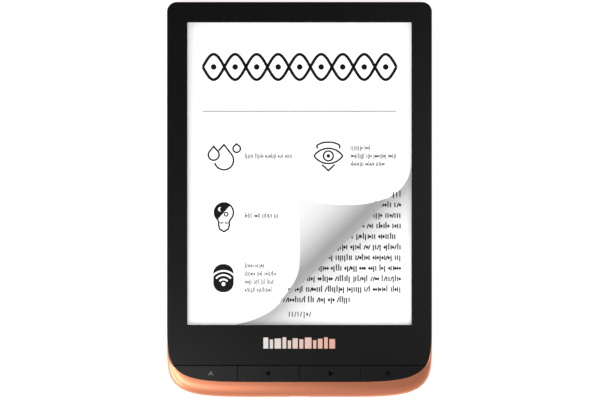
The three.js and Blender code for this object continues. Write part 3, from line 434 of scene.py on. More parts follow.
# %% [markdown]
# ## Rear shell
#
# One moulding makes the back, the sides and the copper chin below the keys. It could be a box with
# bevels, but the chin is a roll whose width and height change all round the reader, so the section is
# worked out at every point of the outline: flat back, a quarter of an ellipse to the side, the side,
# the roll over to the face, then down into the pocket and back along the inside of the wall. The roll
# is a quarter of a superellipse, |x/w|^n + |y/h|^n = 1 with n = 2.6, a little fuller than an ellipse.

# %% The shell's section, carried round
KEY_FALL = 0.55


def key_surface(lift):
    """Height of the key strip: it falls in a straight line from the seam to the chin."""
    return DEPTH - KEY_FALL * (SEAM - lift) / (SEAM - FACE_FOOT)


def step(low, high, value):
    """0 below low, 1 above high, smooth between."""
    t = np.clip((value - low) / (high - low), 0, 1)
    return t * t * (3 - 2 * t)


def beside(points, inset):
    """For each point, the nearest one on the body's outline at an inset, so that sections stand square
    to the wall."""
    curve = body(inset, fine=40)
    gaps = np.abs(points @ [1, 1j] - (curve @ [1, 1j])[:, None])
    return curve[gaps.argmin(0)]


WALL, FLOOR = 1.4, 1.2
BACK_INSET, BACK_RISE = 5, 3.6  # the rounded back edge, in from the side and up from the back
RIM, RIM_LIFT = 7.1, 21.0  # the rim under the face, and the lift where the chin has become it
CHIN_STEP = 0.15  # the chin's edge lies this much lower than the keys
ROLL_DEPTH, ROLL_SPREAD = 3.7, 1.7  # the roll is deep where the chin is wider than its spread
ROLL = 2 / 2.6
SKIRT, LEDGE = 1.2, 0.02  # how far the chin's edge, and the rim's, goes down into the pocket
pocket = face(-0.03)
edge = beside(pocket, 0)
pocket_lift = pocket[:, 1] + HEIGHT / 2
band = np.linalg.norm(pocket - edge, axis=1)
into_rim = step(SEAM, RIM_LIFT, pocket_lift)
chin_top = key_surface(np.minimum(pocket_lift, SEAM)) - CHIN_STEP
top = chin_top + (RIM - chin_top) * into_rim
rise = np.minimum(ROLL_DEPTH * (1 - np.exp(-band / ROLL_SPREAD)), top - BACK_RISE)
quarter = np.linspace(0, np.pi / 2, 15)
rings = [ring(beside(pocket, BACK_INSET + 0.4), 0)]
for a in quarter:
    rings.append(ring(beside(pocket, BACK_INSET * (1 - math.sin(a))), BACK_RISE * (1 - math.cos(a))))
for a in quarter:
    across = edge + (pocket - edge) * (1 - abs(math.cos(a)) ** ROLL)
    rings.append(ring(across, top - rise * (1 - math.sin(a) ** ROLL)))
skirt_foot = top - LEDGE - SKIRT * (1 - into_rim)
inner_fall = 1.5 * step(1.0, 5.0, band)
rings += [ring(pocket, skirt_foot), ring(beside(pocket, WALL), skirt_foot - inner_fall)]
for a in quarter[::-2]:
    height = FLOOR + (BACK_RISE - FLOOR) * (1 - math.cos(a))
    rings.append(ring(beside(pocket, WALL + BACK_INSET * (1 - math.sin(a))), height))
rear_shell = piece("shell", skin(rings), copper_shell, replaces=["rear_shell"])
print("shell:", len(rear_shell.data.polygons), "faces")

# %% [markdown]
# ### Openings of the bottom edge
#
# The charging socket, the power button, the charge light and the reset hole go through the lower wall.
# Each is a closed prism along Y, taken out of the shell with an exact boolean.

# %% Cut the openings
EDGE_Z = 3.6  # height of all the openings' middles


def prism_y(section, y0, y1):
    """A section of (x, z) points, anticlockwise as seen from below the bottom edge, from y0 up to y1."""
    section = np.asarray(section, float)
    rings = [np.stack([section[:, 0], np.full(len(section), y), section[:, 1]], 1) for y in (y1, y0)]
    return skin(rings)


def disc(x, z, radius, count=32):
    """A circle's points, by their angle."""
    a = np.linspace(0, 2 * np.pi, count, endpoint=False)
    return np.stack([x + radius * np.cos(a), z + radius * np.sin(a)], 1)


def button_shape(width, height, radius):
    """A rectangle with round corners: a quarter of a circle at each, turned by half a pi a time."""
    a = np.linspace(0, np.pi / 2, 6)
    corners = [(1, -1, -0.5), (1, 1, 0), (-1, 1, 0.5), (-1, -1, 1)]
    return np.concatenate([
        np.stack([
            BUTTON_X + sx * (width / 2 - radius) + radius * np.cos(a + s * np.pi),
            EDGE_Z + sz * (height / 2 - radius) + radius * np.sin(a + s * np.pi),
        ], 1)
        for sx, sz, s in corners
    ])


def mouth(width, height, bevel):
    """The charging socket's outline: a rectangle whose two back corners are cut off."""
    w, h = width / 2, height / 2
    return [(w, EDGE_Z + h), (-w, EDGE_Z + h), (-w, EDGE_Z + bevel - h), (bevel - w, EDGE_Z - h),
            (w - bevel, EDGE_Z - h), (w, EDGE_Z + bevel - h)]


BUTTON_X, PIPE_X, RESET_X = 16.5, 24.5, -10.0
openings = [
    mouth(width=8.1, height=3.05, bevel=0.7),
    button_shape(width=9.3, height=1.9, radius=0.5),
    disc(PIPE_X, EDGE_Z, radius=0.65),
    disc(RESET_X, EDGE_Z, radius=0.45),
]
cut(rear_shell, [prism_y(o, up(-1), up(2.6)) for o in openings])
print("shell with openings:", len(rear_shell.data.polygons), "faces")

# %% [markdown]
# ## Front frame
#
# The black face is a plate with a rounded outer edge and a softened window edge. A skirt behind it
# stands inside the shell's wall. Its section is closed, and is carried round the reader as round a
# picture frame. Along the seam above the keys the skirt becomes the wall that crosses the body.

# %% The frame's section, carried round
WINDOW_HALF, WINDOW_FOOT, WINDOW_HEAD, WINDOW_RADIUS = 45.65, 29.7, 152.9, 0.4
PLATE_BACK, SKIRT_BACK = DEPTH - 0.85, 4.75
SEAM_HEAD = SEAM + 0.12
BEND = 7  # points round the window's lower corner


def window(grow):
    """The window's outline, point for point beside the face's outline above the seam. The points along
    its side are spaced as the face's own are."""
    lifts = face(0, SEAM_HEAD)[:, 1]
    w, r = WINDOW_HALF + grow, WINDOW_RADIUS + grow
    y0, y1 = up(WINDOW_FOOT) - grow, up(WINDOW_HEAD) + grow
    a = np.linspace(-np.pi / 2, 0, BEND)
    last = FLAT + CORNER + SIDE
    sides = CORNER + SIDE - BEND
    side_from = np.interp(lifts[FLAT + BEND: last], [lifts[FLAT], lifts[last]], [y0 + r, y1 - r])
    b = np.linspace(0, np.pi / 2, ARC + 1)
    x = np.concatenate([np.linspace(0, w - r, FLAT + 1)[:-1], w - r + r * np.cos(a), np.full(sides, w),
                        w - r + r * np.cos(b), np.linspace(w - r, 0, TOP + 1)[1:]])
    y = np.concatenate([np.full(FLAT, y0), y0 + r + r * np.sin(a), side_from,
                        y1 - r + r * np.sin(b), np.full(TOP, y1)])
    right = np.stack([x, y], 1)
    return np.concatenate([right, right[1:-1][::-1] * [-1, 1]])


ROUND, SEAM_ROUND, SILL, RIB = 0.35, 0.14, 0.3, 0.05  # the rib is a narrow flat beside each rounding
rings = [ring(face(0, SEAM_HEAD), PLATE_BACK)]
for a in np.linspace(0, np.pi / 2, 8):
    inward = 1 - math.cos(a)
    outer = face(ROUND * inward, SEAM_HEAD + SEAM_ROUND * inward)
    rings.append(ring(outer, DEPTH - ROUND * (1 - math.sin(a))))
rings.append(ring(face(ROUND + RIB, SEAM_HEAD + SEAM_ROUND + RIB), DEPTH))
rings.append(ring(window(SILL + RIB), DEPTH))
for a in np.linspace(0, np.pi / 2, 7):
    rings.append(ring(window(SILL * (1 - math.sin(a))), DEPTH - SILL * (1 - math.cos(a))))
rings.append(ring(window(0), PLATE_BACK))
inner_skirt, outer_skirt = face(2.5, SEAM_HEAD + 1), face(1.5, SEAM_HEAD + 0.05)
rings += [ring(inner_skirt, PLATE_BACK), ring(inner_skirt, SKIRT_BACK)]
rings += [ring(outer_skirt, SKIRT_BACK), ring(outer_skirt, PLATE_BACK)]
plate = skin(rings, closed=True)
face_frame = piece("face_frame", plate, satin_black, replaces=["front_frame"])
print("face frame:", len(face_frame.data.polygons), "faces")

# %% [markdown]
# ### Shelf and screw posts
#
# Behind the keys a shelf, with one hole for each key's plunger, joins the frame. Six posts take the
# screws that hold the metal frame. They are moulded with the face, and are made here as two pieces of
# plain closed forms.

# %% Shelf and posts
def box(x0, x1, y0, y1, z0, z1):
    """A straight-sided block between two values on each axis."""
    corners = np.array([(x0, y0), (x1, y0), (x1, y1), (x0, y1)], float)
    return skin([ring(corners, z0), ring(corners, z1)])


def tube(x, y, outer, inner, z0, z1, count=28):
    """A round post with a hole: a closed section carried round its axis."""
    section = [(outer, z0), (outer, z1), (inner, z1), (inner, z0)]
    return skin([ring(disc(x, y, r, count), z) for r, z in section], closed=True)


KEY_XS = {"home": -36.1, "back": -12.8, "forward": 12.8, "menu": 36.1}
PLUNGER_LIFT = 9.9
PLUNGER_Y = up(PLUNGER_LIFT)


def hole(x, half_width=2.85, half_length=1.55):
    """A block through the shelf, a little wider than a plunger."""
    return box(x - half_width, x + half_width, PLUNGER_Y - half_length, PLUNGER_Y + half_length, 5, 6.2)


shelf_block = box(-46, 46, up(7.2), up(SEAM_HEAD + 0.9), 5.3, 5.9)
shelf = piece("key_shelf", shelf_block, satin_black)
cut(shelf, [hole(x) for x in KEY_XS.values()])
HEAD_POSTS, FOOT_POSTS = 157.9, 15.02  # lifts of the two rows
posts = [(x, HEAD_POSTS) for x in (-44, 0, 44)] + [(x, FOOT_POSTS) for x in (-44, 20, 44)]
tubes = [tube(x, up(lift), 1.5, 0.8, SKIRT_BACK, 7.3) for x, lift in posts]
piece("screw_posts", gather(tubes), satin_black)
print("posts:", len(posts))

# %% [markdown]
# ## Keys
#
# Four caps fill the strip below the seam. Each follows the face's curved lower edge, slopes down to the
# chin and has a softened edge, so a thin line of light runs beside each seam. Its mark is a shallow
# recess with a printed floor.

# %% Caps, recesses and plungers
KEY_BACK, KEY_ROUND = 6.25, 0.13
SEAM_FOOT = SEAM - 0.12
KEY_SEAM, KEY_GAP = 25.1, 0.22  # the outer seams' place, and the width of every seam
KEY_STEPS = 45  # points along a key's lower edge, and as many back


def strip_foot(x, inset):
    """Lift of the strip's lower edge at x: the face's superellipse, moved in by the inset."""
    across = np.clip((np.abs(x) - FACE_STRAIGHT) / (HALF - REVEAL - inset - FACE_STRAIGHT), 0, 1)
    return FACE_FOOT + inset + FACE_CORNER * (1 - (1 - across**FACE_FULLNESS) ** (1 / FACE_FULLNESS))


def key_ring(left, right, inset, drop, z=None):
    """A key's outline: along its lower edge and back along the seam. The far end of an outer key is
    where the two meet, and its points are closer there."""
    table = np.linspace(0, HALF - REVEAL - 0.05 - inset, 6000)
    meet = np.interp(SEAM_FOOT - inset, strip_foot(table, inset), table)
    low, high = max(left + inset, -meet), min(right - inset, meet)
    t = np.linspace(0, 1, KEY_STEPS)
    if right > HALF - 1:
        t = 1 - (1 - t) ** 1.7
    elif left < 1 - HALF:
        t = t**1.7
    x = low + (high - low) * t
    head = np.full(KEY_STEPS, SEAM_FOOT - inset)
    foot = np.minimum(strip_foot(x, inset), head - 0.01)
    lifts = np.concatenate([foot, head[::-1]])
    points = np.stack([np.concatenate([x, x[::-1]]), up(lifts)], 1)
    return ring(points, key_surface(lifts) - drop if z is None else z)


def key_cap(left, right):
    """Rings from the back up to the rounded edge. The top is closed by a strip of faces from the lower
    edge to the seam, so that it follows the slope."""
    rings = [key_ring(left, right, 0, 0, KEY_BACK)]
    for a in np.linspace(0, np.pi / 2, 6):
        rings.append(key_ring(left, right, KEY_ROUND * (1 - math.cos(a)), KEY_ROUND * (1 - math.sin(a))))
    rings.append(key_ring(left, right, KEY_ROUND + 0.03, 0))
    points, faces = skin(rings)
    first, last = len(points) - 2 * KEY_STEPS, len(points) - 1
    faces[-1:] = [[first + i, first + i + 1, last - i - 1, last - i] for i in range(KEY_STEPS - 1)]
    return points, faces


ROOF = [(-1.15, -0.75), (-0.4, -0.75), (-0.4, -0.3), (0.4, -0.3), (0.4, -0.75), (1.15, -0.75), (0, 1.05)]
BACKWARD = [(-1.3, 0), (0.9, -1.15), (0.9, 1.15)]
FORWARD = [(1.3, 0), (-0.9, 1.15), (-0.9, -1.15)]
a = np.linspace(0, 2 * np.pi, 28, endpoint=False)
COG = np.stack([np.cos(a), np.sin(a)], 1) * (1.08 + 0.16 * np.sign(np.sin(7 * a)))[:, None]


def dark_print(name, colour, gloss):
    made = Finish(name, Base_Color=(*colour, 1), Specular_IOR_Level=gloss)
    return made.feed(Roughness=0.5 + 0.2 * made.noise(0.2))


grey_print = ink("mark_grey", 0.13)
black_print = dark_print("mark_black", (0.0006, 0.0006, 0.0007), 0.03)
dim_print = dark_print("mark_dim", (0.0015, 0.0015, 0.0016), 0.06)
keys = {
    "home": (-HALF, -KEY_SEAM, ROOF, grey_print),
    "back": (-KEY_SEAM, 0, BACKWARD, black_print),
    "forward": (0, KEY_SEAM, FORWARD, black_print),
    "menu": (KEY_SEAM, HALF, COG, dim_print),
}
mark_floor = key_surface(PLUNGER_LIFT) - 0.22
for name, (left, right, mark, print_finish) in keys.items():
    node, x = name + "_key", KEY_XS[name]
    shape = key_cap(left + KEY_GAP / 2, right - KEY_GAP / 2)
    cap = piece(name + "_cap", shape, key_black, node, [node])
    recess, inlay = (np.asarray(mark, float) * size + [x, PLUNGER_Y] for size in (1, 0.985))
    cut(cap, [skin([ring(recess, mark_floor), ring(recess, DEPTH + 1)])])
    print_ends = [ring(inlay, mark_floor + rise) for rise in (0.005, 0.16)]
    piece(name + "_mark", skin(print_ends), print_finish, node)
    stem = box(x - 2.5, x + 2.5, PLUNGER_Y - 1.2, PLUNGER_Y + 1.2, 5.2, KEY_BACK + 0.05)
    piece(name + "_plunger", stem, key_black, node)
print("keys:", list(keys))

# %% [markdown]
# ## Power button and charging socket
#
# The button's cap is a slim bar with a softened face, standing just inside the copper wall. It is a
# stack of rings along Y, widened behind the wall where its flange is. The socket's tongue gets the five
# contacts that a plug touches.

# %% Button and contacts
def bar_ring(width, height, radius, lift):
    x, z = button_shape(width, height, radius).T
    return np.stack([x, np.full(len(x), up(lift)), z], 1)


BAR_FACE, BAR_ROUND = 0.12, 0.22  # lift of the cap's face, and the rounding of its edge
STEM, FLANGE = (3, 1.2, 0.2), (10.6, 1.6, 0.3)
rings = [bar_ring(*STEM, 2.8), bar_ring(*STEM, 2.4), bar_ring(*FLANGE, 2.4), bar_ring(*FLANGE, 1.9)]
rings.append(bar_ring(9, 1.6, 0.4, 1.9))
for a in np.linspace(0, np.pi / 2, 6):
    inward = BAR_ROUND * (1 - math.cos(a))
    size = 9 - 2 * inward, 1.6 - 2 * inward, 0.4 - 0.5 * inward
    rings.append(bar_ring(*size, BAR_FACE + BAR_ROUND * (1 - math.sin(a))))
rings.append(bar_ring(8.5, 1.1, 0.28, BAR_FACE))
piece("power_cap", skin(rings), copper_button, "power_button", ["power_button"])
contacts = [box(x - 0.2, x + 0.2, up(2.45), up(5.6), 3.54, 3.61) for x in np.linspace(-1.3, 1.3, 5)]
piece("socket_contacts", gather(contacts), gold)
print("contacts:", len(contacts))

# %% [markdown]
# ## The picture on the screen
#
# Electronic paper shows a still picture: a page of pictograms whose corner is curled back over a page of
# a book. An image could be laid on the panel, but it would blur when seen close. Here the picture is
# thin printed layers, about a hundredth of a millimetre each, so every edge stays sharp. Rows of plain
# marks stand for all words, so the page looks written but says nothing.

# %% Curves, strokes and patches of ink
PANEL = 5.85  # height of the panel's front


def curve(points, count=60):
    """A smooth line through points (Catmull-Rom): between two points it is the cubic that leaves each
    with the direction from its neighbour before to its neighbour after."""
    p = np.asarray(points, float)
    p = np.concatenate([[2 * p[0] - p[1]], p, [2 * p[-1] - p[-2]]])
    s = np.linspace(0, len(points) - 1, count)
    i = np.minimum(s.astype(int), len(points) - 2)
    t = (s - i)[:, None]
    before, start, end, after = p[i], p[i + 1], p[i + 2], p[i + 3]
    cubic = 3 * (start - end) + after - before
    square = 2 * before - 5 * start + 4 * end - after
    return start + 0.5 * t * (end - before + t * (square + t * cubic))


def stroke(path, width, z0, z1, closed=False):
    """A pen line: a flat bar carried along a path, square across it at each point."""
    p = np.asarray(path, float)
    ahead, behind = np.roll(p, -1, 0) - p, p - np.roll(p, 1, 0)
    if not closed:
        ahead[-1], behind[0] = behind[-1], ahead[0]
    unit = lambda v: v / np.linalg.norm(v, axis=1)[:, None]
    along = unit(unit(ahead) + unit(behind))
    across = np.stack([-along[:, 1], along[:, 0]], 1)
    mitre = np.maximum(0.5, (along * unit(ahead)).sum(1))[:, None]
    left, right = p + across * width / 2 / mitre, p - across * width / 2 / mitre
    sections = np.stack([ring(left, z0), ring(left, z1), ring(right, z1), ring(right, z0)], 1)
    return skin(sections, closed)


def patch(points, z0, z1):
    """A filled shape, given anticlockwise."""
    return skin([ring(np.asarray(points, float), z) for z in (z0, z1)])


def oval(x, y, rx, ry, count=40, start=0.0, turn=2 * np.pi):
    """An ellipse, or the part of it from the angle `start` through `turn`."""
    a = start + np.linspace(0, turn, count, endpoint=abs(turn) < 6.28)
    return np.stack([x + rx * np.cos(a), y + ry * np.sin(a)], 1)


def drop(x, y, radius, tip, start=None):
    """A round drop and the two tangents that meet at its tip. Seen from the centre, a tangent touches
    at the angle whose sine is the radius over the tip's distance. `start` is where an open drop starts."""
    touch = math.asin(radius / (tip - y))
    start = np.pi - touch if start is None else start
    around = oval(x, y, radius, radius, 48, start, 2 * np.pi + touch - start)
    return np.concatenate([around, [(x, tip)]])


def layer(low, high):
    """Bottom and top of a printed layer, in hundredths of a millimetre above the panel."""
    return PANEL + low / 100, PANEL + high / 100


ON_PAGE, ON_NEXT, NEXT, TURNED = layer(0.1, 1.6), layer(0.4, 2.0), layer(0.1, 1.1), layer(1.4, 2.9)
print("pen ready")

# %% Heading ornament and rule
HEADING_LEFT, HEADING_Y, BOLD = -39.4, 54.2, 1.15
LOOP = 79 / 9  # nine eyes, each between two crossings of the strands
t = np.linspace(HEADING_LEFT, HEADING_LEFT + 9 * LOOP, 260)
swing = 5.2 * np.sin(np.pi * (t - HEADING_LEFT) / LOOP)
plait = [stroke(np.stack([t, HEADING_Y + side * swing], 1), BOLD, *ON_PAGE) for side in (1, -1)]
eyes = HEADING_LEFT + LOOP * (np.arange(9) + 0.5)
plait += [patch(oval(x, HEADING_Y, BOLD, BOLD, 24), *ON_PAGE) for x in eyes]
piece("heading_ornament", gather(plait), black_ink)
piece("page_rule", box(-39.5, 39.6, 36.0, 36.3, *ON_PAGE), line_ink)
print("heading: a plait of", len(eyes), "eyes")

# %% [markdown]
# ### Pictograms
#
# Drops for a reader that stands water, an eye for a restful screen, a lamp for its light and waves for
# its radio link. Each is a few strokes of one pen.

# %% Drops, eye, lamp and waves
PEN = 0.66


def line(path, width=PEN, closed=False):
    return stroke(path, width, *ON_PAGE, closed)


behind = np.concatenate([drop(-30.8, 16.15, 3.9, 22.5, 1.09 * np.pi), [(-33.0, 20.0)]])
drops = [line(drop(*sizes), closed=True) for sizes in [(-35.0, 18.35, 2.2, 21.8), (-25.6, 20.85, 1.5, 22.8)]]
piece("drops", gather([*drops, line(behind)]), line_ink)

EYE_X, EYE_Y = 11.8, 17.9
t = np.linspace(-1, 1, 25)
lid = np.stack([EYE_X + 5.8 * t, 3.1 * (1 - t**2) ** 0.8], 1)
almond = np.concatenate([lid[::-1] + [0, EYE_Y], (lid * [1, -1])[1:-1] + [0, EYE_Y]])
brow = [(7.3, 20.9), (7.3, 22.3), (9.6, 23.3), (11.8, 23.5), (14.0, 23.3), (16.3, 22.3), (16.3, 20.9)]
eye = [
    line(almond, closed=True),
    line(oval(EYE_X, EYE_Y, 2.0, 2.0), closed=True),
    patch(oval(EYE_X, EYE_Y, 0.75, 0.75, 24), *ON_PAGE),
    line(curve(brow, 30)),
    line([(9.2, 14.4), (11.8, 11.9), (14.4, 14.4)]),
]
piece("eye", gather(eye), line_ink)

LAMP = (-30.8, -5.15)
glass = oval(*LAMP, 3.85, 3.85, 44, -0.24 * np.pi, 1.48 * np.pi)
neck = [(-32.9, -9.1), (-33.0, -10.3), (-32.5, -12.0), (-30.8, -13.0)]
neck += [(-29.1, -12.0), (-28.6, -10.3), (-28.7, -9.1)]
lamp = [
    line(np.concatenate([glass, neck]), closed=True),
    line([(-32.3, -9.45), (-31.0, -9.45)], 0.55),
    line([(-30.5, -9.45), (-29.2, -9.45)], 0.55),
    patch(oval(*LAMP, 3.75, 3.75, 30, 0.27 * np.pi, np.pi), *ON_PAGE),
    line(oval(-29.9, -5.9, 0.75, 0.75, 24), 0.5, closed=True),
]
piece("lamp", gather(lamp), line_ink)
OVER_INK = layer(1.7, 2.6)
full = oval(-32.3, -3.9, 0.9, 0.9, 16, 0.5 * np.pi, np.pi)
bite = oval(-31.9, -3.9, 0.55, 0.7, 16, 1.4 * np.pi, -0.8 * np.pi)
piece("lamp_moon", patch(np.concatenate([full, bite]), *OVER_INK), page)

corners = [(0.3, 1.9, 0), (-0.3, 1.9, 1), (-0.3, -1.9, 2), (0.3, -1.9, 3)]
badge = [oval(-31.0 + x, -32.0 + y, 3.85, 3.85, 14, s * np.pi / 2, np.pi / 2) for x, y, s in corners]
piece("radio_badge", patch(np.concatenate(badge), *ON_PAGE), line_ink)
arcs = [oval(-31.0, -34.6, r, r, 20, 0.22 * np.pi, 0.56 * np.pi) for r in (2.1, 3.9, 5.6)]
waves = [stroke(arc, 0.7, *OVER_INK) for arc in arcs] + [patch(oval(-31.0, -34.4, 0.8, 0.8, 24), *OVER_INK)]
piece("radio_waves", gather(waves), page)
print("four pictograms drawn")

# %% [markdown]
# ### Rows of marks for words
#
# A word is a few small upright bars, leaning bars and lozenges. All the marks of a block are one array:
# four corners for each, moved to its place in the row.

# %% Marks in place of words
BAR = np.array([(-0.5, 0), (0.5, 0), (0.5, 1), (-0.5, 1)])
LEANING = BAR + [(-0.6, 0), (-0.6, 0), (0.9, 0), (0.9, 0)]
LOZENGE = np.array([(0, 0.08), (1.2, 0.5), (0, 0.92), (-1.2, 0.5)])
TALL, DEEP = BAR * [1, 1.35], BAR * [1, 1.3] - [0, 0.3]
SHAPES = np.array([BAR, LEANING, LOZENGE, TALL, DEEP, LOZENGE, BAR])


def marks(rows, height, pen, pitch, levels, seed):
    """Rows of marks: each row is (left, right, middle). One mark in 4 to 10 is left out, as a gap
    between words."""
    draw = np.random.default_rng(seed)
    corners = []
    for left, right, middle in rows:
        count = int((right - left) / pitch)
        x = np.linspace(left, right, count) + draw.uniform(-0.12, 0.12, count) * pitch
        shape = SHAPES[draw.integers(0, len(SHAPES), count)]
        gap = np.zeros(count, bool)
        breaks = np.cumsum(draw.integers(4, 11, count))
        gap[breaks[breaks < count - 3]] = True
        place = np.stack([x, np.full(count, middle - height / 2)], 1)[~gap]
        corners.append(place[:, None] + shape[~gap] * [pen, height])
    corners = np.concatenate(corners)
    low, high = (np.concatenate([corners, np.full((*corners.shape[:2], 1), z)], 2) for z in levels)
    points = np.concatenate([low, high], 1)
    sides = [(3, 2, 1, 0), (4, 5, 6, 7), (0, 1, 5, 4), (1, 2, 6, 5), (2, 3, 7, 6), (3, 0, 4, 7)]
    faces = (np.arange(len(points))[:, None, None] * 8 + sides).reshape(-1, 4)
    return points.reshape(-1, 3), faces.tolist()


captions = [(-22.1, -3.2, 17.7)]
captions += [(21.1, right, y) for right, y in [(28.6, 21.1), (39.2, 17.8), (34.4, 14.5)]]
ends = [(-9.0, -6.6), (-14.6, -27.0), (-9.8, -30.3), (-10.8, -33.6), (-11.6, -36.9)]
captions += [(-22.1, right, y) for right, y in ends]
piece("captions", marks(captions, 1.6, 0.29, 0.56, ON_PAGE, 4), caption_ink)
print("captions:", len(captions), "rows")

# %% [markdown]
# ### The curled corner and the next page
#
# The corner is a surface between two lines: its own edge, which goes out to a point and back, and the
# line where the sheet rolls over. Its shade is a point attribute that follows the distance from the
# roll, darkest 3 mm from it and pale at the edge. The next page is the surface from the roll to the
# window's corner, with a soft shadow beside the curl.

# %% Curled corner and next page
roll = [(36.1, 0.7), (29.6, -7.0), (21.4, -14.9), (14.9, -20.8), (8.4, -27.4), (1.9, -33.4)]
roll += [(-3.0, -37.7), (-7.9, -42.0)]
turned_top = [(36.1, 0.7), (27.5, -1.6), (18.5, -2.1), (9.0, -1.5), (-0.4, -0.1)]
turned_side = [(-0.4, -0.1), (0.0, -12.7), (0.1, -22.5), (-1.2, -31.5), (-7.9, -42.0)]
right_edge = [(45.65, 15.0), (44.6, 9.6), (41.2, 4.4), (36.1, 0.7)]
lower_edge = [(-7.9, -42.0), (-12.5, -45.9), (-19.0, -49.0), (-26.0, -50.95)]


def resample(path):
    """A path with four times as many points."""
    share = np.linspace(0, len(path) - 1, 4 * len(path))
    return np.stack([np.interp(share, np.arange(len(path)), path[:, axis]) for axis in (0, 1)], 1)


def shaded_sheet(name, start, end, levels, rows, shade):
    """A thin sheet between two lines of equal counts, in rows that lie closer beside the first. Each
    point's shade comes from its distance from the first line, by a list of (distance, shade)."""
    across = np.linspace(0, 1, rows)[:, None, None] ** 1.3
    flat = start * (1 - across) + end * across
    count = flat.shape[1]
    index = np.arange(rows * count).reshape(rows, count)
    quads = np.stack([index[:-1, :-1], index[:-1, 1:], index[1:, 1:], index[1:, :-1]], -1).reshape(-1, 4)
    flat_points = flat.reshape(-1, 2)
    size = len(flat_points)
    points = np.concatenate([ring(flat_points, levels[0]), ring(flat_points, levels[1])])
    border = np.concatenate([index[0, ::-1], index[1:, 0], index[-1, 1:], index[-2:0:-1, -1]])
    after = np.roll(border, -1)
    walls = np.stack([after, border, border + size, after + size], -1)
    faces = np.concatenate([quads + size, quads[:, ::-1], walls]).tolist()
    made = piece(name, (points, faces), printed_page)
    gaps = np.abs((flat_points @ [1, 1j])[:, None] - (resample(start) @ [1, 1j])[None])
    values = np.interp(gaps.min(1), *np.transpose(shade))
    attribute = made.data.attributes.new("shade", "FLOAT", "POINT")
    attribute.data.foreach_set("value", np.tile(values, 2).astype(np.float32))
    return made


turned_shade = [(0, 0.33), (1, 0.3), (2, 0.285), (3, 0.266), (4, 0.275), (5, 0.303), (6, 0.343), (8, 0.4)]
turned_shade += [(10, 0.47), (12, 0.52), (14, 0.58), (16, 0.615), (18, 0.645), (20, 0.675), (26, 0.71)]
roll_line = curve(roll, 90)
edge_line = np.concatenate([curve(turned_top, 43)[:-1], curve(turned_side, 48)])
turned = shaded_sheet("turned_corner", roll_line[::-1], edge_line[::-1], TURNED, 40, turned_shade)

tuck = 1.2 * np.sin(np.pi * np.linspace(0, 1, 60)) ** 0.35  # how far the page goes in under the curl
tucked = curve(roll, 60) + np.stack([-tuck, tuck], 1)
near = np.concatenate([curve(right_edge, 24)[:-1], tucked, curve(lower_edge, 24)[1:]])
s, bends = np.linspace(0, 1, len(near)), [0, 0.46, 1]
far_x = np.interp(s, bends, [WINDOW_HALF, WINDOW_HALF, -26.0])
far = np.stack([far_x, np.interp(s, bends, [15.0, -50.95, -50.95])], 1)
next_shade = [(0, 0.38), (1.7, 0.41), (2.7, 0.45), (3.7, 0.51), (5.7, 0.58)]
next_shade += [(8, 0.64), (12, 0.72), (18, 0.8), (26, 0.9)]
next_page = shaded_sheet("next_page", near, far, NEXT, 46, next_shade)
print("curl:", len(turned.data.polygons), "faces; next page:", len(next_page.data.polygons), "faces")

# %% Words of the next page
line_tops = 2.2 - 4.31 * np.arange(11)
hidden = np.interp(line_tops, [p[1] for p in roll[::-1]], [p[0] for p in roll[::-1]])
rows = [(max(left - 2.5, -5.0), 41.0, y) for left, y in zip(hidden, line_tops)]
rows[0] = (38.4, 41.0, line_tops[0])
rows[4] = (rows[4][0], 39.0, line_tops[4])
rows[10] = (-6.2, 20.2, line_tops[10])
piece("book_text", marks(rows, 1.9, 0.48, 0.86, ON_NEXT, 11), book_ink)
piece("page_number", marks([(-4.2, 4.4, -46.7)], 2.0, 0.36, 1.0, ON_NEXT, 5), book_ink)
print("book text:", len(rows), "rows")

# %% [markdown]
# ## The mark under the screen
#
# A row of book spines is inlaid in the black face. Each spine is a thin foil in a recess, silver at the
# left and copper at the right.

# %% Inlaid spines
widths = np.array([2.0, 1.3, 2.6, 1.5, 1.3, 2.1, 1.6, 2.7, 1.3, 1.9, 1.5, 2.3])
heights = np.array([4.5, 3.7, 4.1, 4.6, 3.3, 4.2, 3.8, 4.5, 3.4, 4.0, 4.6, 3.9])
ROW_LEFT, ROW_WIDTH, ROW_FOOT = -14.7, 29.2, -60.6
gap = (ROW_WIDTH - widths.sum()) / (len(widths) - 1)
lefts = ROW_LEFT + np.concatenate([[0], np.cumsum(widths + gap)[:-1]])


def spines(grow, z0, z1):
    """A block for each spine, larger all round by `grow`."""
    return gather([
        box(x - grow, x + w + grow, ROW_FOOT - grow, ROW_FOOT + h + grow, z0, z1)
        for x, w, h in zip(lefts, widths, heights)
    ])


leaf = Finish("spine_foil", Metallic=0.25, Specular_IOR_Level=0.5)
SPAN = 30 * MM  # the colour turns from silver to copper over this width
along = leaf.node("ShaderNodeSeparateXYZ", {"Vector": leaf.place((1 / SPAN, 1, 1))}, output="X") + 0.5
grain = leaf.noise(0.1, 1.0)
colour = leaf.mix(along, (0.72, 0.71, 0.69), (0.8, 0.4, 0.3))
leaf.feed(Base_Color=leaf.mix(0.12 * grain, colour, (0.3, 0.25, 0.22)), Roughness=0.32 + 0.1 * grain)
cut(face_frame, [spines(0.02, 7.94, 8.5)])
piece("spine_mark", spines(0, 7.945, 7.996), leaf)
print("spines:", len(widths))

# %% [markdown]
# ## Screen border
#
# The panel is wider than the window. A black film covers its rim, so that nothing pale shows under the
# edge of the window when the reader is seen from the side.

# %% Film round the panel
def rectangle_ring(w, y0, y1, z):
    return ring(np.array([(w, y0), (w, y1), (-w, y1), (-w, y0)], float), z)


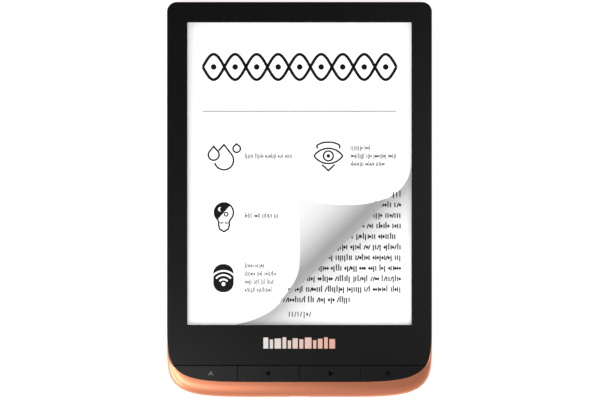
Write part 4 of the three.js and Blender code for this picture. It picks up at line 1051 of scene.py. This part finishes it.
opening, rim = (45.8, up(29.55), up(153.05)), (50.7, up(18), up(155))
FILM_BACK, FILM_FRONT = PANEL + 0.002, PANEL + 0.035
section = [(rim, FILM_BACK), (rim, FILM_FRONT), (opening, FILM_FRONT), (opening, FILM_BACK)]
rings = [rectangle_ring(*edges, z) for edges, z in section]
border = piece("panel_border", skin(rings, closed=True), dark_film)
print("border:", len(border.data.polygons), "faces")

# %% [markdown]
# ## Camera, light and floor
#
# The camera looks straight down on the reader through a long lens, so no side shows. The floor is pale
# and glows a little, so that no shadow shows on it. The sky is dark overhead, which keeps the black face
# black, and light towards the horizon, most of all at the left. Two small soft lights above the reader
# give the face its sheen, and a large low one at the left lights the rolled edge of the chin.

# %% Camera
scene = bpy.context.scene
camera = bpy.data.objects.new("camera", bpy.data.cameras.new("camera"))
scene.collection.objects.link(camera)
LENS, SENSOR = 150, 36
camera.data.lens, camera.data.sensor_width = LENS, SENSOR
FIELD = 244.35  # width of the view at the height of the face
camera.location = (0.23 * MM, -0.09 * MM, DEPTH * MM + FIELD * MM * LENS / SENSOR)
camera.data.clip_end = 50
scene.camera = camera
scene.view_settings.view_transform = "Standard"
print("camera", round(camera.location.z, 3), "m above the floor")

# %% Floor
floor = bpy.data.objects.new("floor", bpy.data.meshes.new("floor"))
FLOOR_HALF, FLOOR_Z = 3, -0.0004  # metres
floor_corners = [(FLOOR_HALF * x, FLOOR_HALF * y, FLOOR_Z) for x, y in [(-1, -1), (1, -1), (1, 1), (-1, 1)]]
floor.data.from_pydata(floor_corners, [], [(0, 1, 2, 3)])
scene.collection.objects.link(floor)
pale = Finish("pale_floor", Base_Color=(0.5, 0.5, 0.5, 1), Specular_IOR_Level=0.1)
pale.shader.inputs["Emission Color"].default_value = (1, 1, 1, 1)
pale.shader.inputs["Emission Strength"].default_value = 0.72
pale.feed(Roughness=0.8 + 0.1 * pale.noise(40))
floor.data.materials.append(pale.material)
print("floor laid")

# %% Sky and lights
world = bpy.data.worlds.new("studio")
world.use_nodes = True
scene.world = world
nodes, links = world.node_tree.nodes, world.node_tree.links
direction = nodes.new("ShaderNodeTexCoord")
split = nodes.new("ShaderNodeSeparateXYZ")
ramp = nodes.new("ShaderNodeValToRGB")
links.new(direction.outputs["Generated"], split.inputs[0])
links.new(split.outputs["Z"], ramp.inputs["Fac"])
links.new(ramp.outputs["Color"], nodes["Background"].inputs["Color"])
sky_stops = [(0.72, (0.72, 0.72, 0.73, 1)), (0.95, (0.008, 0.008, 0.008, 1))]
for element, (place, colour) in zip(ramp.color_ramp.elements, sky_stops):
    element.position, element.color = place, colour
# Strength is 1 - 0.3 X, so the sky is stronger at the left.
side = nodes.new("ShaderNodeMath")
side.operation = "MULTIPLY_ADD"
links.new(split.outputs["X"], side.inputs[0])
side.inputs[1].default_value, side.inputs[2].default_value = -0.3, 1.0
links.new(side.outputs[0], nodes["Background"].inputs["Strength"])


def softbox(name, place, size, power, aim):
    """A rectangular light of so many watts that faces `aim`. Places and sizes are in metres."""
    light = bpy.data.lights.new(name, "AREA")
    light.shape, light.energy = "RECTANGLE", power
    light.size, light.size_y = size
    made = bpy.data.objects.new(name, light)
    made.location = place
    made.rotation_mode = "QUATERNION"
    made.rotation_quaternion = (Vector(aim) - Vector(place)).to_track_quat("-Z", "Y")
    scene.collection.objects.link(made)


softbox("key_light", (-0.13, -0.17, 0.28), (0.1, 0.1), 0.42, (-0.05, -0.06, 0))
softbox("fill_light", (0.19, 0.0, 0.28), (0.1, 0.16), 0.28, (0.05, 0, 0))
softbox("side_light", (-0.5, -0.36, 0.22), (0.5, 0.4), 3.3, (-0.04, -0.08, 0))
